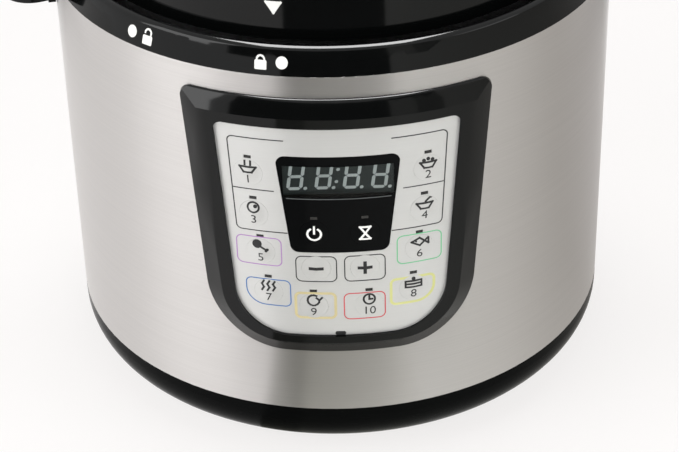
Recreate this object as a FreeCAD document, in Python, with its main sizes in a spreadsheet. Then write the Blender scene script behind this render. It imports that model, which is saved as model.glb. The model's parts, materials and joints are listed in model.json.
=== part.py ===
"""Electric pressure cooker, in millimetres: +Z up, origin on the floor under its axis, front towards -Y."""
import FreeCAD, Part
import math
import os
import Sketcher

SIZES = {
    # Clearances
    "slip": 0.3,
    "contact": 0.05,
    # Base bowl and feet
    "foot_tall": 3.0,
    "foot_radius": 9.0,
    "foot_circle": 92.0,
    "foot_turn": 45.0,
    "foot_plug_radius": 3.0,
    "base_tall": 27.0,
    "base_wall": 3.0,
    "base_bend": 22.0,
    "spigot_tall": 6.0,
    "spigot_wall": 2.5,
    "vent_long": 26.0,
    "vent_wide": 4.0,
    "vent_circle": 62.0,
    # Steel wall and top ring
    "channel_gap": 6.4,
    "steel_gauge": 0.8,
    "ring_tall": 12.5,
    "ring_lean": 4.3,
    "ring_edge": 1.0,
    "rim_wall": 2.7,
    "rim_draft": 1.5,
    "channel_deep": 18.0,
    "channel_floor": 3.0,
    # Side handles
    "ear_reach": 26.0,
    "ear_span": 44.0,
    "ear_rise": 5.0,
    "ear_shelf": 6.0,
    "ear_wall": 3.7,
    "ear_grip_span": 18.0,
    "ear_lip": 17.0,
    "ear_back": 23.5,
    "ear_corner": 14.0,
    "ear_round": 2.5,
    "ear_screw_turn": 5.0,
    "ear_screw_lift": 5.0,
    # Outer pot with its bayonet flange
    "pot_play": 2.0,
    "liner_gauge": 1.5,
    "liner_lift": 22.0,
    "liner_opening": 88.0,
    "seat_reach": 3.5,
    "flange_drop": 4.0,
    "lip_above_flange": 4.0,
    "flange_thick": 3.0,
    "flange_reach": 2.5,
    "lug_reach": 7.0,
    "lug_span": 26.0,
    "blanket_thick": 4.0,
    "blanket_lift": 20.0,
    "blanket_gap": 13.0,
    # Heater under the inner pot
    "spring_plate_overlap": 8.0,
    "spring_plate_gauge": 2.0,
    "hot_foot_radius": 5.0,
    "hot_foot_tall": 4.5,
    "hot_foot_circle": 84.0,
    "hot_foot_turn": 30.0,
    "hot_plate_radius": 94.0,
    "hot_plate_tall": 12.0,
    "hot_plate_eye": 14.0,
    "element_circle": 62.0,
    "element_radius": 3.8,
    "element_lift": 4.6,
    "element_gap": 16.0,
    "terminal_drop": 20.0,
    "probe_radius": 8.5,
    "probe_tall": 14.0,
    "probe_foot": 11.0,
    "probe_foot_tall": 1.5,
    "probe_spring_tall": 6.0,
    "probe_spring_wall": 1.0,
    "switch_box_long": 20.0,
    "switch_box_wide": 10.0,
    "switch_box_tall": 12.0,
    "switch_box_set": 40.0,
    # Inner pot
    "pot_radius": 108.0,
    "pot_gauge": 1.5,
    "pot_floor": 2.2,
    "pot_bend": 13.0,
    "pot_tall": 154.0,
    "pot_lip_reach": 5.8,
    "pot_lip_thick": 2.4,
    # Posts and boards in the base
    "post_radius": 4.0,
    "post_circle": 100.0,
    "post_turn": 90.0,
    "screw_radius": 1.6,
    "screw_head_radius": 3.4,
    "screw_head_tall": 2.2,
    "screw_deep": 12.0,
    "board_gauge": 1.6,
    "power_board_long": 80.0,
    "power_board_wide": 60.0,
    "power_board_lift": 8.0,
    "power_board_set": 34.0,
    "standoff_radius": 3.0,
    "relay_long": 20.0,
    "relay_wide": 16.0,
    "relay_tall": 16.0,
    "winding_long": 34.0,
    "winding_wide": 21.0,
    "winding_tall": 18.2,
    "core_long": 20.4,
    "core_wide": 30.0,
    "core_tall": 26.0,
    # Power inlet at the back
    "inlet_lift": 40.0,
    "inlet_wide": 29.0,
    "inlet_tall": 22.0,
    "inlet_clear": 1.5,
    "inlet_flange": 4.0,
    "inlet_flange_thick": 2.6,
    "socket_wide": 24.6,
    "socket_tall": 16.8,
    "socket_deep": 16.0,
    "pin_long": 10.0,
    "pin_wide": 4.0,
    "pin_thick": 2.0,
    "pin_pitch": 7.0,
    "pin_step": 4.0,
    # Condensation cup at the back
    "cup_wide": 60.0,
    "cup_deep": 30.0,
    "cup_tall": 62.0,
    "cup_wall": 2.2,
    "cup_top_drop": 8.0,
    "rail_neck": 18.0,
    "rail_head": 30.0,
    "rail_thick": 3.0,
    "rail_tall": 40.0,
    "cup_web": 2.5,
    # Control panel
    "panel_drop": 10.5,
    "overlay_tall": 112.6,
    "overlay_half_top": 55.4,
    "overlay_half_low": 47.6,
    "overlay_corner_top": 4.0,
    "overlay_corner_low": 25.0,
    "overlay_rise": 4.0,
    "overlay_gauge": 1.2,
    "bezel_rise": 5.5,
    "bezel_half_top": 70.2,
    "bezel_half_low": 60.5,
    "bezel_above": 13.0,
    "bezel_below": 11.9,
    "bezel_corner_low": 36.0,
    "bezel_corner_top": 6.0,
    "bezel_bevel": 8.0,
    "bezel_bevel_deep": 4.6,
    "plug_reach": 1.5,
    "ledge": 3.0,
    "floor_set": 2.5,
    "floor_gauge": 2.0,
    "window_half_top": 28.2,
    "window_half_low": 22.2,
    "window_low": 46.6,
    "window_tall": 51.0,
    "window_corner": 4.0,
    "display_wide": 50.3,
    "display_tall": 19.0,
    "display_inset": 11.8,
    "board_half": 44.0,
    "board_tall": 88.0,
    "board_low": 10.0,
    "board_clear": 2.0,
    "boss_radius": 3.5,
    "boss_inset": 7.0,
    # Keys and indicator lights
    "key_radius": 6.5,
    "key_rise": 0.15,
    "key_crown": 0.15,
    "key_flange_reach": 0.5,
    "key_flange_thick": 1.0,
    "key_stem_radius": 2.2,
    "key_stem_long": 0.9,
    "key_travel": 0.5,
    "dome_radius": 3.0,
    "dome_top_radius": 2.1,
    "light_long": 3.2,
    "light_wide": 1.4,
    "light_lift": 8.4,
    "top_row_turn": 16.8,
    "top_row_height": 87.3,
    "second_row_turn": 16.1,
    "second_row_share": 0.754,
    "third_row_turn": 15.1,
    "third_row_share": 0.519,
    "fourth_row_turn": 13.9,
    "fourth_row_share": 0.267,
    "low_row_turn": 5.3,
    "low_row_gap": 21.2,
    "step_row_turn": 4.6,
    "step_row_gap": 8.8,
    "state_row_turn": 4.75,
    "state_row_inset": 10.3,
    # Lid
    "lid_play": 0.7,
    "lid_gauge": 1.2,
    "lid_lug_gap": 0.6,
    "lid_lug_thick": 3.2,
    "lid_lug_span": 24.0,
    "lid_skirt_drop": 3.0,
    "seal_tall": 10.4,
    "seal_thick": 13.5,
    "seal_lip_gap": 3.2,
    "seal_lip_deep": 6.0,
    "rack_wire": 1.5,
    "rack_stud": 1.2,
    "rack_turn": 30.0,
    "cover_gauge": 1.8,
    "cover_play": 0.4,
    "cover_sink": 1.5,
    "cover_skirt": 26.0,
    "cover_tall": 45.5,
    "cover_shoulder": 22.6,
    "cover_round": 14.0,
    "cover_boss_radius": 5.0,
    "cover_boss_inset": 16.0,
    "cover_boss_turn": 45.0,
    "grip_half": 70.0,
    "grip_lean": 10.0,
    "grip_tall": 28.0,
    "grip_foot": 24.0,
    "grip_bar": 13.0,
    "grip_wide": 34.0,
    "grip_round": 12.0,
    "grip_inner_round": 6.0,
    "grip_edge": 4.0,
    # Steam valve and float on the lid
    "pipe_inset": 34.0,
    "pipe_radius": 5.0,
    "pipe_bore": 1.5,
    "pipe_below": 6.0,
    "pipe_above": 10.0,
    "pipe_collar": 8.0,
    "pipe_collar_tall": 3.0,
    "nut_across": 14.0,
    "nut_tall": 3.5,
    "shield_radius": 14.0,
    "shield_tall": 10.5,
    "shield_wall": 1.2,
    "shield_slot": 3.0,
    "knob_radius": 13.0,
    "knob_tall": 15.0,
    "knob_cover_gap": 0.6,
    "knob_fin_wide": 8.0,
    "knob_fin_tall": 8.0,
    "knob_fin_reach": 20.0,
    "float_side": 34.0,
    "float_inset": 38.0,
    "float_radius": 3.0,
    "float_shoulder": 5.0,
    "float_shoulder_tall": 2.0,
    "float_below": 8.6,
    "float_top_drop": 3.0,
    "float_end": 4.2,
    "float_end_tall": 1.4,
    "float_seal_radius": 6.0,
    "float_seal_tall": 2.4,
    "float_eye": 5.5,
}

# How many of each piece or cut stand in a circle
FOOT_COUNT = 4
POST_COUNT = 3
VENT_COUNT = 12
LUG_COUNT = 6
HOT_FOOT_COUNT = 3
RACK_STUD_COUNT = 3
LID_SCREW_COUNT = 4
SHIELD_SLOT_COUNT = 6

# Degrees from the front of the body to its side
QUARTER_TURN = 90

doc = FreeCAD.newDocument("pressure_cooker")
sheet = doc.addObject("Spreadsheet::Sheet", "Sizes")
for row, (alias, number) in enumerate(SIZES.items(), start=1):
    sheet.set(f"A{row}", alias)
    sheet.set(f"B{row}", str(number))
    sheet.setAlias(f"B{row}", alias)
doc.recompute()


class Size:
    """A number together with the sheet formula that it comes from."""

    def __init__(self, value, text):
        self.value = value
        self.text = text

    def __add__(self, other):
        other = sized(other)
        return Size(self.value + other.value, f"({self.text} + {other.text})")

    def __sub__(self, other):
        other = sized(other)
        return Size(self.value - other.value, f"({self.text} - {other.text})")

    def __mul__(self, other):
        other = sized(other)
        return Size(self.value * other.value, f"({self.text} * {other.text})")

    def __truediv__(self, other):
        other = sized(other)
        return Size(self.value / other.value, f"({self.text} / {other.text})")

    def __neg__(self):
        return Size(-self.value, f"(0 - {self.text})")


def sized(thing):
    """A plain number becomes a formula that is just that number."""
    if isinstance(thing, Size):
        return thing
    return Size(float(thing), f"({float(thing)})")


class Names:
    """Gives each value of the sheet as an attribute."""

    def __getattr__(self, alias):
        return Size(float(sheet.get(alias)), f"Sizes.{alias}")


s = Names()


def sine(angle):
    return Size(math.sin(math.radians(angle.value)), f"sin({angle.text})")


def cosine(angle):
    return Size(math.cos(math.radians(angle.value)), f"cos({angle.text})")


def chord(radius, half):
    """Distance from the axis to a chord of the given half length."""
    value = math.sqrt(radius.value ** 2 - half.value ** 2)
    return Size(value, f"sqrt({radius.text} ^ 2 - {half.text} ^ 2)")


def bind(thing, prop, size):
    """Sets a property from a formula of the sheet."""
    thing.setExpression(prop, sized(size).text)


def place(thing, x=0, y=0, z=0, yaw=0, pitch=0, roll=0):
    """Turns a piece by roll, pitch and yaw about X, Y and Z, then moves it."""
    where = "; ".join(sized(value).text for value in (x, y, z))
    turn = "; ".join(sized(value).text for value in (yaw, pitch, roll))
    thing.setExpression("Placement", f"placement(vector({where}); rotation({turn}))")
    return thing


def plane_of(body, role):
    return next(item for item in body.Origin.OriginFeatures if item.Role == role)


def draw_polygon(body, name, plane, corners):
    """A closed sketch whose corners, across and up, follow the sheet."""
    sketch = body.newObject("Sketcher::SketchObject", name)
    sketch.AttachmentSupport = (plane_of(body, plane), [""])
    sketch.MapMode = "FlatFace"
    corners = [(sized(across), sized(up)) for across, up in corners]
    count = len(corners)
    points = [FreeCAD.Vector(across.value, up.value, 0) for across, up in corners]
    for index in range(count):
        sketch.addGeometry(Part.LineSegment(points[index], points[(index + 1) % count]), False)
    for index in range(count):
        sketch.addConstraint(Sketcher.Constraint("Coincident", index, 2, (index + 1) % count, 1))
    for index, pair in enumerate(corners):
        for axis, size in zip("XY", pair):
            number = sketch.addConstraint(Sketcher.Constraint(f"Distance{axis}", index, 1, size.value))
            sketch.renameConstraint(number, f"corner{index}{axis}")
            sketch.setExpression(f"Constraints.corner{index}{axis}", size.text)
    return sketch


def add_turned(body, name, corners, span=360):
    """Turns a profile (radius, height) about the body's Z axis, evenly to both sides of its XZ plane."""
    sketch = draw_polygon(body, name + "_profile", "XZ_Plane", corners)
    turned = body.newObject("PartDesign::Revolution", name)
    turned.Profile = sketch
    turned.ReferenceAxis = (sketch, ["V_Axis"])
    turned.Midplane = True
    bind(turned, "Angle", span)
    body.Tip = turned
    doc.recompute()
    return turned


def turned_body(name, corners, span=360):
    body = doc.addObject("PartDesign::Body", name)
    add_turned(body, name + "_turned", corners, span)
    return body


def repeat_round(body, name, feature, count):
    """Repeats a feature evenly about the body's Z axis."""
    pattern = body.newObject("PartDesign::PolarPattern", name)
    pattern.Originals = [feature]
    pattern.Axis = (plane_of(body, "Z_Axis"), [""])
    pattern.Angle = 360
    pattern.Occurrences = count
    body.Tip = pattern
    doc.recompute()
    return pattern


def round_edges(body, name, amount, wanted):
    """Rounds those edges of the body's last feature that the test picks."""
    base = body.Tip
    edges = [f"Edge{number}" for number, edge in enumerate(base.Shape.Edges, start=1) if wanted(edge)]
    if not edges:
        raise RuntimeError(f"no edge to round for {name}")
    fillet = body.newObject("PartDesign::Fillet", name)
    fillet.Base = (base, edges)
    bind(fillet, "Radius", amount)
    body.Tip = fillet
    doc.recompute()
    return fillet


def circle_at(radius, height):
    """A test for the round edge of a given radius and height."""
    def wanted(edge):
        curve = edge.Curve
        if not isinstance(curve, Part.Circle):
            return False
        near = abs(curve.Radius - radius.value) < 0.01
        return near and abs(edge.Vertexes[0].Z - height.value) < 0.01
    return wanted


def padded_body(name, plane, corners, length, both_ways=False):
    """A polygon pushed out of its plane by a length."""
    body = doc.addObject("PartDesign::Body", name)
    sketch = draw_polygon(body, name + "_outline", plane, corners)
    pad = body.newObject("PartDesign::Pad", name + "_pad")
    pad.Profile = sketch
    pad.Midplane = both_ways
    bind(pad, "Length", length)
    body.Tip = pad
    doc.recompute()
    return body


def rod(name, radius, length):
    """A cylinder from the origin up its own Z axis."""
    cylinder = doc.addObject("Part::Cylinder", name)
    bind(cylinder, "Radius", radius)
    bind(cylinder, "Height", length)
    return cylinder


def block(name, long, wide, tall):
    """A box from the origin along its own axes."""
    box = doc.addObject("Part::Box", name)
    bind(box, "Length", long)
    bind(box, "Width", wide)
    bind(box, "Height", tall)
    return box


def centred_block(name, long, wide, tall, x=0, y=0, z=0):
    """A box centred on x and y, standing on z."""
    box = block(name, long, wide, tall)
    return place(box, sized(x) - sized(long) / 2, sized(y) - sized(wide) / 2, z)


def fuse(name, shapes):
    joined = doc.addObject("Part::MultiFuse", name)
    joined.Shapes = shapes
    joined.Refine = True
    doc.recompute()
    return joined


def common(name, first, second):
    shared = doc.addObject("Part::Common", name)
    shared.Base = first
    shared.Tool = second
    doc.recompute()
    return shared


def cut(name, base, tools):
    """Cuts tools from a piece, and makes sure that they reach it."""
    tool = tools[0] if len(tools) == 1 else fuse(name + "_tools", tools)
    left = doc.addObject("Part::Cut", name)
    left.Base = base
    left.Tool = tool
    doc.recompute()
    if left.Shape.Volume > base.Shape.Volume - 1e-3:
        raise RuntimeError(f"nothing was cut from {name}")
    return left


def group(name, solids):
    """Identical pieces that share a node."""
    together = doc.addObject("Part::Compound", name)
    together.Links = solids
    return together


def around(circle, count, start):
    """Places (x, y) spaced evenly on a circle."""
    spots = []
    for index in range(count):
        turn = start + 360 / count * index
        spots.append((circle * cosine(turn), circle * sine(turn)))
    return spots


nodes = []


def node(piece):
    nodes.append(piece)
    return piece


# Heights above the floor that several pieces share
base_low = s.foot_tall
base_floor = base_low + s.base_wall
steel_low = s.foot_tall + s.base_tall
liner_bottom = steel_low + s.liner_lift
spring_plate_low = liner_bottom + s.liner_gauge
hot_foot_low = spring_plate_low + s.spring_plate_gauge
hot_plate_low = hot_foot_low + s.hot_foot_tall
hot_plate_top = hot_plate_low + s.hot_plate_tall
pot_lip_top = hot_plate_top + s.pot_tall
flange_top = pot_lip_top - s.lip_above_flange
flange_low = flange_top - s.flange_thick
ring_top = flange_top + s.flange_drop
steel_top = ring_top - s.ring_tall
channel_low = ring_top - s.channel_deep
ring_under = channel_low - s.channel_floor
lid_under = pot_lip_top + s.seal_tall + s.slip * 2
lid_top = lid_under + s.lid_gauge
cover_low = ring_top - s.cover_sink
cover_top = cover_low + s.cover_tall
cover_under = cover_top - s.cover_gauge
panel_low = steel_top - s.panel_drop - s.bezel_above - s.overlay_tall

# Radii that several pieces share, from the pot outwards
liner_radius = s.pot_radius + s.pot_play + s.liner_gauge
band_radius = liner_radius + s.slip + s.blanket_thick
lug_radius = liner_radius + s.lug_reach
lid_inside = lug_radius + s.lid_play
lid_radius = lid_inside + s.lid_gauge
cover_inside = lid_radius + s.cover_play
cover_radius = cover_inside + s.cover_gauge
rim_inside = cover_radius + s.channel_gap
rim_outside = rim_inside + s.rim_wall
steel_radius = rim_outside + s.ring_lean
cover_flat = cover_radius - s.cover_shoulder
cover_boss_circle = cover_flat - s.cover_boss_inset
pipe_set = cover_flat - s.pipe_inset
float_set = cover_flat - s.float_inset
steel_inside = steel_radius - s.steel_gauge
screw_hole = s.screw_radius + s.slip
thread_hole = s.screw_radius + s.contact


def screw(name, long):
    """Pan-head screw, head down, with the underside of its head at its origin and its shank up Z."""
    head = s.screw_head_radius
    profile = [(0, -s.screw_head_tall), (head, -s.screw_head_tall), (head, 0),
               (s.screw_radius, 0), (s.screw_radius, long), (0, long)]
    return turned_body(name, profile)


def base_shell():
    """Bowl with a spigot that the steel wall stands round, vents, and bosses for the power board."""
    outer = steel_radius
    spigot_out = steel_inside - s.slip
    inner = spigot_out - s.spigot_wall
    body = turned_body("base_bowl", [
        (0, base_low), (outer, base_low), (outer, steel_low), (spigot_out, steel_low),
        (spigot_out, steel_low + s.spigot_tall), (inner, steel_low + s.spigot_tall),
        (inner, base_floor), (0, base_floor)])
    round_edges(body, "base_bowl_inside", s.base_bend - s.base_wall, circle_at(inner, base_floor))
    round_edges(body, "base_bowl_bend", s.base_bend, circle_at(outer, base_low))
    tools = []
    for index, (x, y) in enumerate(around(s.foot_circle, FOOT_COUNT, s.foot_turn)):
        hole = rod(f"foot_hole_{index}", s.foot_plug_radius + s.slip, s.base_wall)
        tools.append(place(hole, x, y, base_low))
    for index, (x, y) in enumerate(around(s.post_circle, POST_COUNT, s.post_turn)):
        hole = rod(f"post_hole_{index}", screw_hole, s.base_wall)
        tools.append(place(hole, x, y, base_low))
    for index in range(VENT_COUNT):
        turn = sized(360 / VENT_COUNT * (index + 0.5))
        slot = block(f"vent_{index}", s.vent_long, s.vent_wide, s.base_wall)
        reach = s.vent_circle - s.vent_long / 2
        half = s.vent_wide / 2
        place(slot, reach * cosine(turn) + half * sine(turn), reach * sine(turn) - half * cosine(turn),
              base_low, yaw=turn)
        tools.append(slot)
    shell = cut("base_bowl_open", body, tools)
    standoffs = []
    for index, (x, y) in enumerate(power_board_corners()):
        post = rod(f"standoff_{index}", s.standoff_radius, s.power_board_lift + s.base_wall / 2)
        standoffs.append(place(post, x, y, base_low + s.base_wall / 2))
    return fuse("base_shell", [shell] + standoffs)


def power_board_corners():
    half_long = s.power_board_long / 2 - s.standoff_radius
    half_wide = s.power_board_wide / 2 - s.standoff_radius
    return [(half_long * side, s.power_board_set + half_wide * end) for side in (1, -1) for end in (1, -1)]


def rubber_feet():
    """Round pads, each with a plug in a hole of the base."""
    feet = []
    for index, (x, y) in enumerate(around(s.foot_circle, FOOT_COUNT, s.foot_turn)):
        foot = turned_body(f"foot_{index}", [
            (0, 0), (s.foot_radius - s.slip * 2, 0), (s.foot_radius, s.slip * 2),
            (s.foot_radius, s.foot_tall), (s.foot_plug_radius, s.foot_tall),
            (s.foot_plug_radius, s.foot_tall + s.base_wall), (0, s.foot_tall + s.base_wall)])
        feet.append(place(foot, x, y))
    return group("rubber_feet", feet)


def support_posts():
    """Posts that tie the outer pot to the base, each tapped for a screw from below."""
    posts = []
    for index, (x, y) in enumerate(around(s.post_circle, POST_COUNT, s.post_turn)):
        tall = liner_bottom - base_floor
        post = turned_body(f"post_{index}", [
            (thread_hole, 0), (s.post_radius, 0), (s.post_radius, tall), (0, tall),
            (0, s.screw_deep + s.contact), (thread_hole, s.screw_deep + s.contact)])
        posts.append(place(post, x, y, base_floor))
    return group("support_posts", posts)


def base_screws():
    screws = []
    for index, (x, y) in enumerate(around(s.post_circle, POST_COUNT, s.post_turn)):
        screws.append(place(screw(f"base_screw_{index}", s.screw_deep + s.base_wall), x, y, base_low))
    return group("base_screws", screws)


def panel_outline(name, reach):
    """The overlay's outline, let out by a reach, pushed forward from the axis through the panel."""
    body = padded_body(name, "XZ_Plane", [
        (-s.overlay_half_top - reach, panel_low + s.overlay_tall + reach),
        (-s.overlay_half_low - reach, panel_low - reach),
        (s.overlay_half_low + reach, panel_low - reach),
        (s.overlay_half_top + reach, panel_low + s.overlay_tall + reach)], steel_radius * 2)
    middle = panel_low.value + s.overlay_tall.value / 2
    round_top = s.overlay_corner_top + reach
    round_low = s.overlay_corner_low + reach
    round_edges(body, name + "_top", round_top, lambda edge: runs_back(edge, middle, True))
    round_edges(body, name + "_low", round_low, lambda edge: runs_back(edge, middle, False))
    return body


def runs_back(edge, middle, above):
    """An edge straight back along Y, above or below a height."""
    ends = [vertex.Point for vertex in edge.Vertexes]
    if len(ends) != 2 or abs(ends[0].y - ends[1].y) < 1:
        return False
    straight = abs(ends[0].x - ends[1].x) < 1e-6 and abs(ends[0].z - ends[1].z) < 1e-6
    return straight and (ends[0].z > middle) == above


def curved(name, outline, inner, outer):
    """The part of an outline that lies between two radii about the body's axis."""
    tall = ring_top * 2
    shell = doc.addObject("Part::Cut", name + "_shell")
    shell.Base = rod(name + "_outside", outer, tall)
    shell.Tool = rod(name + "_inside", inner, tall)
    doc.recompute()
    return common(name, outline, shell)


# Radii of the layers of the control panel
overlay_front = steel_radius + s.overlay_rise
overlay_back = overlay_front - s.overlay_gauge
bezel_front = steel_radius + s.bezel_rise
bezel_back = steel_radius + s.slip
floor_back = steel_radius - s.floor_set
floor_front = floor_back + s.floor_gauge
board_front = chord(floor_back, s.board_half) - s.board_clear
display_front = chord(overlay_back, s.display_wide / 2) - s.slip
window_bottom = panel_low + s.window_low
display_low = window_bottom + s.window_tall - s.display_inset - s.display_tall / 2

# Height of each row of keys
step_row_height = window_bottom - s.step_row_gap
ROW_HEIGHTS = {
    "top_row": panel_low + s.top_row_height,
    "second_row": panel_low + s.top_row_height * s.second_row_share,
    "third_row": panel_low + s.top_row_height * s.third_row_share,
    "fourth_row": panel_low + s.top_row_height * s.fourth_row_share,
    "low_row": step_row_height - s.low_row_gap,
    "step_row": step_row_height,
    "state_row": window_bottom + s.state_row_inset,
}
KEY_ROWS = (
    ("top_row", "soup_key", "rice_key"),
    ("second_row", "meat_key", "porridge_key"),
    ("third_row", "chicken_key", "fish_key"),
    ("fourth_row", "steam_key", "cake_key"),
    ("low_row", "reheat_key", "slow_cook_key"),
    ("step_row", "minus_key", "plus_key"),
    ("state_row", "cancel_key", "timer_key"),
)
WINDOW_ROW = "state_row"
UNLIT_ROW = "step_row"


def key_places():
    """Each key's name, row, turn about the axis and height."""
    places = []
    for row, left, right in KEY_ROWS:
        turn = getattr(s, row + "_turn")
        height = ROW_HEIGHTS[row]
        places.append((left, row, -turn, height))
        places.append((right, row, turn, height))
    return places


def key_and_light_holes(name, rows):
    """Radial tools for the keys and light bars of some rows."""
    tools = []
    for key, row, turn, height in key_places():
        if row not in rows:
            continue
        hole = rod(f"{name}_{key}", s.key_radius + s.slip, bezel_front)
        tools.append(place(hole, 0, 0, height, yaw=turn, roll=90))
        if row != UNLIT_ROW:
            tools.append(light_bar(f"{name}_{key}_light", turn, height, s.slip / 2, sized(0), bezel_front))
    return tools


def light_bar(name, turn, height, play, start, end):
    """A bar over a key, from one radius to another, let out all round by a play."""
    bar = block(name, s.light_long + play * 2, end - start, s.light_wide + play * 2)
    half = s.light_long / 2 + play
    x = start * sine(turn) - half * cosine(turn)
    y = -(start * cosine(turn)) - half * sine(turn)
    low = height + s.light_lift - s.light_wide / 2 - play
    back = end - start
    return place(bar, x + back * sine(turn), y - back * cosine(turn), low, yaw=turn)


def bezel_blank(name):
    """The bezel's outline with its low corners rounded, pushed forward from the axis."""
    top = panel_low + s.overlay_tall + s.bezel_above
    low = panel_low - s.bezel_below
    body = padded_body(name, "XZ_Plane", [
        (-s.bezel_half_top, top), (-s.bezel_half_low, low), (s.bezel_half_low, low),
        (s.bezel_half_top, top)], steel_radius * 2)
    middle = (top.value + low.value) / 2
    round_edges(body, name + "_low", s.bezel_corner_low, lambda edge: runs_back(edge, middle, False))
    return body, top, middle


def bezel():
    """Frame round the panel: bevelled on all sides, with small round corners at the top."""
    body, top, middle = bezel_blank("bezel_body")
    tall = ring_top * 2
    outside = steel_radius * 3
    add_groove(body, "bezel_front", [(bezel_front, 0), (outside, 0), (outside, tall), (bezel_front, tall)])
    add_groove(body, "bezel_back", [(0, 0), (bezel_back, 0), (bezel_back, tall), (0, tall)])
    base = body.Tip
    bevel = body.newObject("PartDesign::Chamfer", "bezel_bevel")
    bevel.Base = (base, bevel_edges(base.Shape, top.value))
    bevel.ChamferType = "Two distances"
    bind(bevel, "Size", s.bezel_bevel_deep)
    bind(bevel, "Size2", s.bezel_bevel)
    body.Tip = bevel
    doc.recompute()
    brow = bezel_front - s.bezel_bevel_deep
    add_groove(body, "bezel_top_bevel", [
        (brow, top), (bezel_front, top - s.bezel_bevel), (outside, top - s.bezel_bevel), (outside, tall), (brow, tall)])
    limit, _, _ = bezel_blank("bezel_limit")
    round_edges(limit, "bezel_limit_top", s.bezel_corner_top, lambda edge: runs_back(edge, middle, True))
    return common("bezel", body, limit)


def panel_frame():
    """Bezel with a plug through the steel wall, a curved floor and bosses for the board."""
    plug = curved("panel_plug", panel_outline("plug_outline", s.plug_reach), floor_back, overlay_back)
    blank = fuse("panel_blank", [bezel(), plug])
    outside = steel_radius * 2
    rebate = curved("panel_rebate", panel_outline("rebate_outline", s.slip / 2), overlay_back, outside)
    cavity = curved("panel_cavity", panel_outline("cavity_outline", -s.ledge), floor_front, outside)
    opening = centred_block("display_opening", s.display_wide + s.slip * 2, steel_radius,
                            s.display_tall + s.slip * 2, 0, -steel_radius, display_low - s.slip)
    hollow = cut("panel_hollow", blank, [rebate, cavity, opening])
    bosses = []
    for index, (x, z) in enumerate(boss_places()):
        boss = turned_body(f"boss_{index}", [
            (thread_hole, board_front), (s.boss_radius, board_front), (s.boss_radius, steel_radius),
            (thread_hole, steel_radius)])
        bosses.append(place(boss, x, 0, z, roll=90))
    stock = fuse("boss_stock", bosses)
    trimmed = common("boss_trim", stock, rod("boss_limit", floor_back + s.floor_gauge / 2, ring_top))
    return fuse("panel_frame", [hollow, trimmed])


def add_groove(body, name, corners):
    """Turns away a profile (radius, height) all round the axis."""
    sketch = draw_polygon(body, name + "_profile", "XZ_Plane", corners)
    groove = body.newObject("PartDesign::Groove", name)
    groove.Profile = sketch
    groove.ReferenceAxis = (sketch, ["V_Axis"])
    groove.Angle = 360
    body.Tip = groove
    doc.recompute()


def bevel_edges(shape, top):
    """Front edges of the bezel's sides and bottom, without its top."""
    wanted = []
    for number, edge in enumerate(shape.Edges, start=1):
        first, last = edge.ParameterRange
        points = [edge.valueAt(first + (last - first) * step / 4) for step in range(5)]
        on_front = all(abs(math.hypot(point.x, point.y) - bezel_front.value) < 0.01 for point in points)
        on_top = all(abs(point.z - top) < 0.01 for point in points)
        if on_front and not on_top:
            wanted.append(f"Edge{number}")
    return wanted


def boss_places():
    low = panel_low + s.board_low + s.boss_inset
    high = panel_low + s.board_low + s.board_tall - s.boss_inset
    return [((s.board_half - s.boss_inset) * side, z) for side in (1, -1) for z in (low, high)]


def window_outline(name, reach):
    body = padded_body(name, "XZ_Plane", [
        (-s.window_half_top - reach, window_bottom + s.window_tall + reach),
        (-s.window_half_low - reach, window_bottom - reach),
        (s.window_half_low + reach, window_bottom - reach),
        (s.window_half_top + reach, window_bottom + s.window_tall + reach)], steel_radius * 2)
    round_edges(body, name + "_corners", s.window_corner + reach, lambda edge: runs_back(edge, 0, True))
    return body


def panel_overlay():
    """Silver face plate, with holes for its keys and light bars and for the display window."""
    blank = curved("overlay_blank", panel_outline("overlay_outline", sized(0)), overlay_back, overlay_front)
    rows = [row for row, left, right in KEY_ROWS if row != WINDOW_ROW]
    tools = key_and_light_holes("overlay_hole", rows)
    return cut("panel_overlay", blank, tools + [window_outline("window_hole", s.slip / 2)])


def display_window():
    """Dark lens in the overlay, with holes for the two keys that lie in it."""
    blank = curved("window_blank", window_outline("window_edge", sized(0)), overlay_back, overlay_front)
    return cut("display_window", blank, key_and_light_holes("window_hole", [WINDOW_ROW]))


def led_display():
    deep = display_front - board_front
    return centred_block("led_display", s.display_wide, deep, s.display_tall,
                         0, -board_front - deep / 2, display_low)


def control_board():
    """Flat board behind the panel's floor, drilled over the bosses."""
    low = panel_low + s.board_low
    plate = centred_block("control_board_plate", s.board_half * 2, s.board_gauge, s.board_tall,
                          0, s.board_gauge / 2 - board_front, low)
    tools = []
    for index, (x, z) in enumerate(boss_places()):
        hole = rod(f"control_board_hole_{index}", screw_hole, s.board_gauge * 3)
        tools.append(place(hole, x, s.board_gauge * 2 - board_front, z, roll=90))
    return cut("control_board", plate, tools)


def board_screws():
    screws = []
    for index, (x, z) in enumerate(boss_places()):
        one = screw(f"board_screw_{index}", s.board_gauge + s.screw_head_tall)
        screws.append(place(one, x, s.board_gauge - board_front, z, roll=90))
    return group("board_screws", screws)


def switch_domes():
    """Snap domes on the panel's floor, one behind each key, with their tops where a pressed key stops."""
    domes = []
    low = floor_front + s.contact
    high = key_stem_end() - s.key_travel - s.contact * 2
    for key, row, turn, height in key_places():
        dome = turned_body(f"{key}_dome", [
            (0, low), (s.dome_radius, low), (s.dome_top_radius, high), (0, high)])
        domes.append(place(dome, 0, 0, height, yaw=turn, roll=90))
    return group("switch_domes", domes)


def key_stem_end():
    """Radius at which a key's stem ends."""
    return overlay_back - s.slip - s.key_flange_thick - s.key_stem_long


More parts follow.
